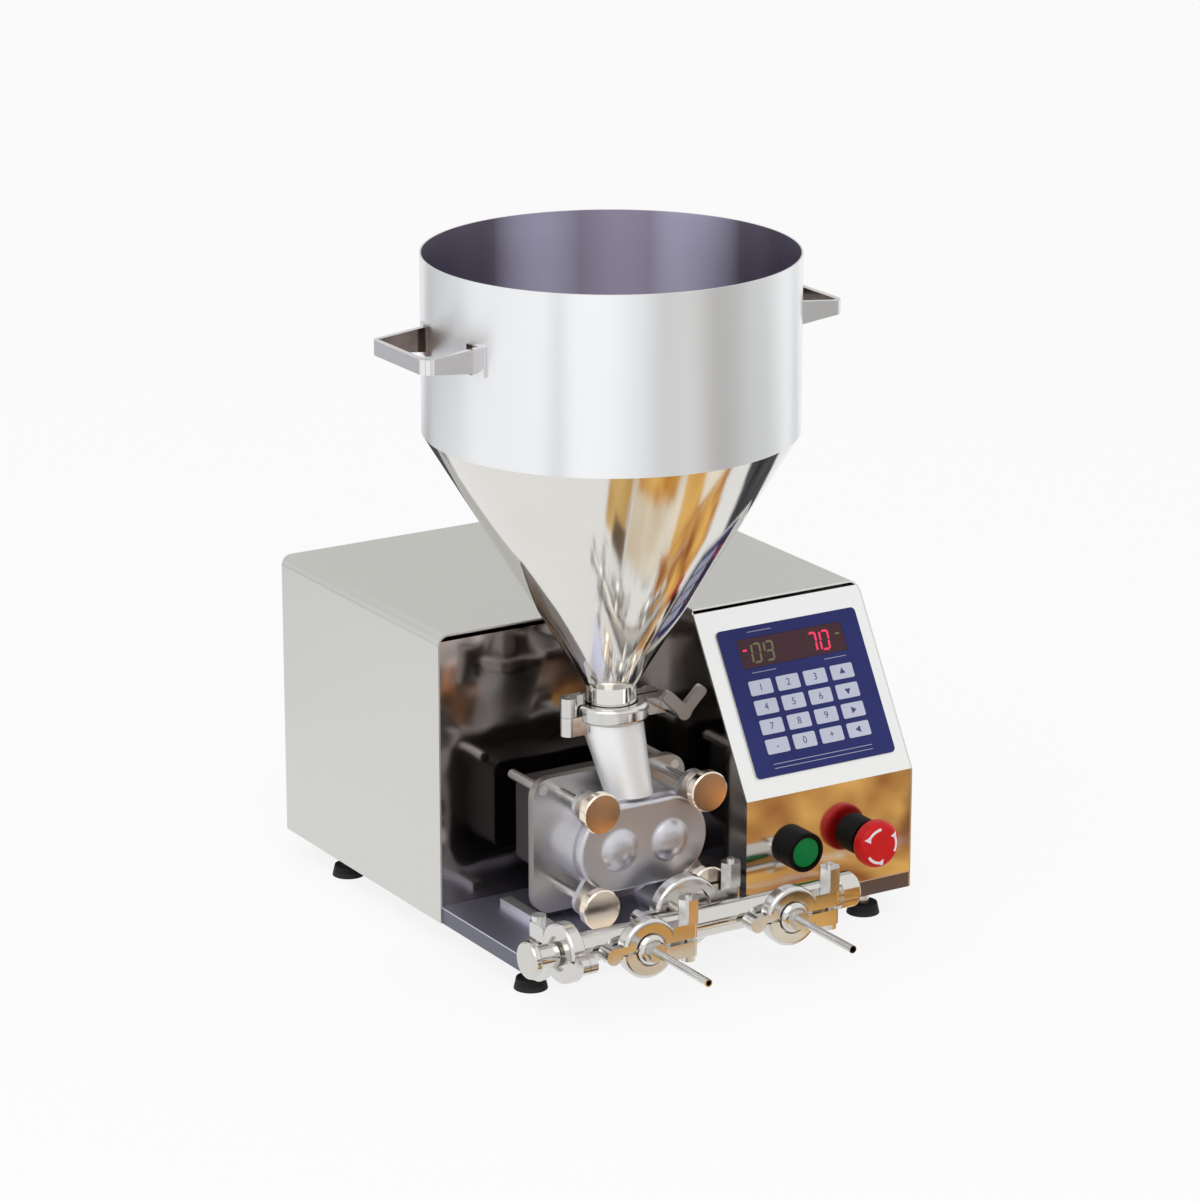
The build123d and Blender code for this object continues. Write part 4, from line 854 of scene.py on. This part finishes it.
black_tones = ((0.010, 0.008, 0.007), (0.030, 0.022, 0.018))
brown_tones = ((0.05, 0.035, 0.028), (0.24, 0.16, 0.10))
amber_tones = ((0.36, 0.12, 0.04), (0.98, 0.56, 0.16))
orange_tones = ((0.60, 0.26, 0.04), (0.92, 0.56, 0.18))
gold_tones = ((0.55, 0.28, 0.06), (0.85, 0.62, 0.26))
copper_tones = ((0.24, 0.14, 0.085), (0.40, 0.23, 0.13))
bright_tones = ((1.3, 0.42, 0.08), (2.6, 1.15, 0.30))
cream_tones = ((0.76, 0.64, 0.48), (1.0, 0.93, 0.80))
charcoal_tones = ((0.04, 0.04, 0.045), (0.10, 0.10, 0.11))
pale_tones = ((1.5, 1.4, 1.35), (2.3, 2.2, 2.15))
right_tones = ((0.40, 0.40, 0.39), (0.50, 0.495, 0.48))
front_tones = ((0.72, 0.73, 0.74), (0.80, 0.81, 0.82))
middle_tones = ((0.52, 0.54, 0.57), (0.64, 0.66, 0.68))
left_tones = ((0.47, 0.48, 0.51), (0.57, 0.58, 0.61))
side_tones = ((0.62, 0.63, 0.63), (0.70, 0.71, 0.71))
wall_tones = ((0.16, 0.125, 0.10), (0.40, 0.32, 0.25))
backdrop_tones = ((0.66, 0.66, 0.645), (0.74, 0.74, 0.72))
card("dark_card", black_tones, lying(180, -470), (640, 480))
card("dark_card_far", black_tones, lying(430, -720), (220, 240))
card("pale_card", pale_tones, lying(290, -672, 1.0), (170, 80))
card("copper_card_left", copper_tones, lying(160, -555, 1.0), (90, 150))
card("copper_card_right", copper_tones, lying(270, -560, 1.0), (90, 150))
card("orange_card_high", bright_tones, lying(206, -603, 1.5, -60), (124, 26), 20.0)
card("orange_card_low", bright_tones, lying(90, -398, 1.5, -60), (90, 20), 20.0)
card("orange_card_small", bright_tones, lying(249, -446, 1.5), (36, 46), 20.0)
card("cream_card", cream_tones, lying(110, -290, 1.0), (460, 110))
card("gold_card_left", gold_tones, lying(-128, -272, 1.5), (80, 90))
card("brown_card", brown_tones, lying(-108, -243, 2.0), (52, 38), 40.0)
card("gold_card_low", orange_tones, lying(10, -356, 1.5), (170, 110), 20.0)
card("gold_card_right", orange_tones, lying(165, -285, 1.5), (95, 120))
card("amber_card", amber_tones, standing(230, -250, 45), (210, 90), 20.0)
card("amber_card_low", amber_tones, lying(205, -197, 1.5), (265, 120), 20.0)
card("charcoal_card_right", charcoal_tones, lying(560, 150), (240, 700))
card("charcoal_card_back", charcoal_tones, lying(120, 1080), (820, 960))
card("grey_card_right", right_tones, far_off(318, 2100), (2500, 2300), 1.0)
card("grey_card_front", front_tones, far_off(263, 2000), (2200, 1250), 1.0)
card("grey_card_middle", middle_tones, far_off(209, 1900), (2200, 300), 1.0)
card("grey_card_left", left_tones, far_off(120, 2300), (1800, 2300), 1.0)
card("grey_card_side", side_tones, far_off(20, 1900), (1500, 620), 1.0)
card("brown_wall", wall_tones, standing(1500, -2600, 450), (4200, 600), 1.5)
card("grey_backdrop", backdrop_tones, standing(1200, 2600, 1200), (6500, 2400), 0.8)

# Lamp and camera: one broad soft lamp above the front left corner, and a long lens at the photograph's view.
# The camera looks down at the front from the left.
machine_middle = Vector((0.0, 0.0, 0.28))
lamp_spot = Vector((-1.7, -1.5, 3.0))
lamp_size = 3.0
lamp_power = 42.0
deselect()
bpy.ops.object.light_add(type="AREA", location=lamp_spot)
lamp = bpy.context.object
lamp.name = "key_lamp"
lamp.data.size = lamp_size
lamp.data.energy = lamp_power
lamp.rotation_euler = (machine_middle - lamp_spot).to_track_quat("-Z", "Y").to_euler()

camera_spot = (-1.9233, -3.1250, 1.4100)
camera_pitch = 17.157
camera_heading = -31.565
camera_lens = 140.1
camera_turn = (math.radians(90 - camera_pitch), 0.0, math.radians(camera_heading))
deselect()
bpy.ops.object.camera_add(location=camera_spot, rotation=camera_turn)
camera = bpy.context.object
camera.data.lens = camera_lens
bpy.context.scene.camera = camera
bpy.context.scene.view_settings.view_transform = "Standard"
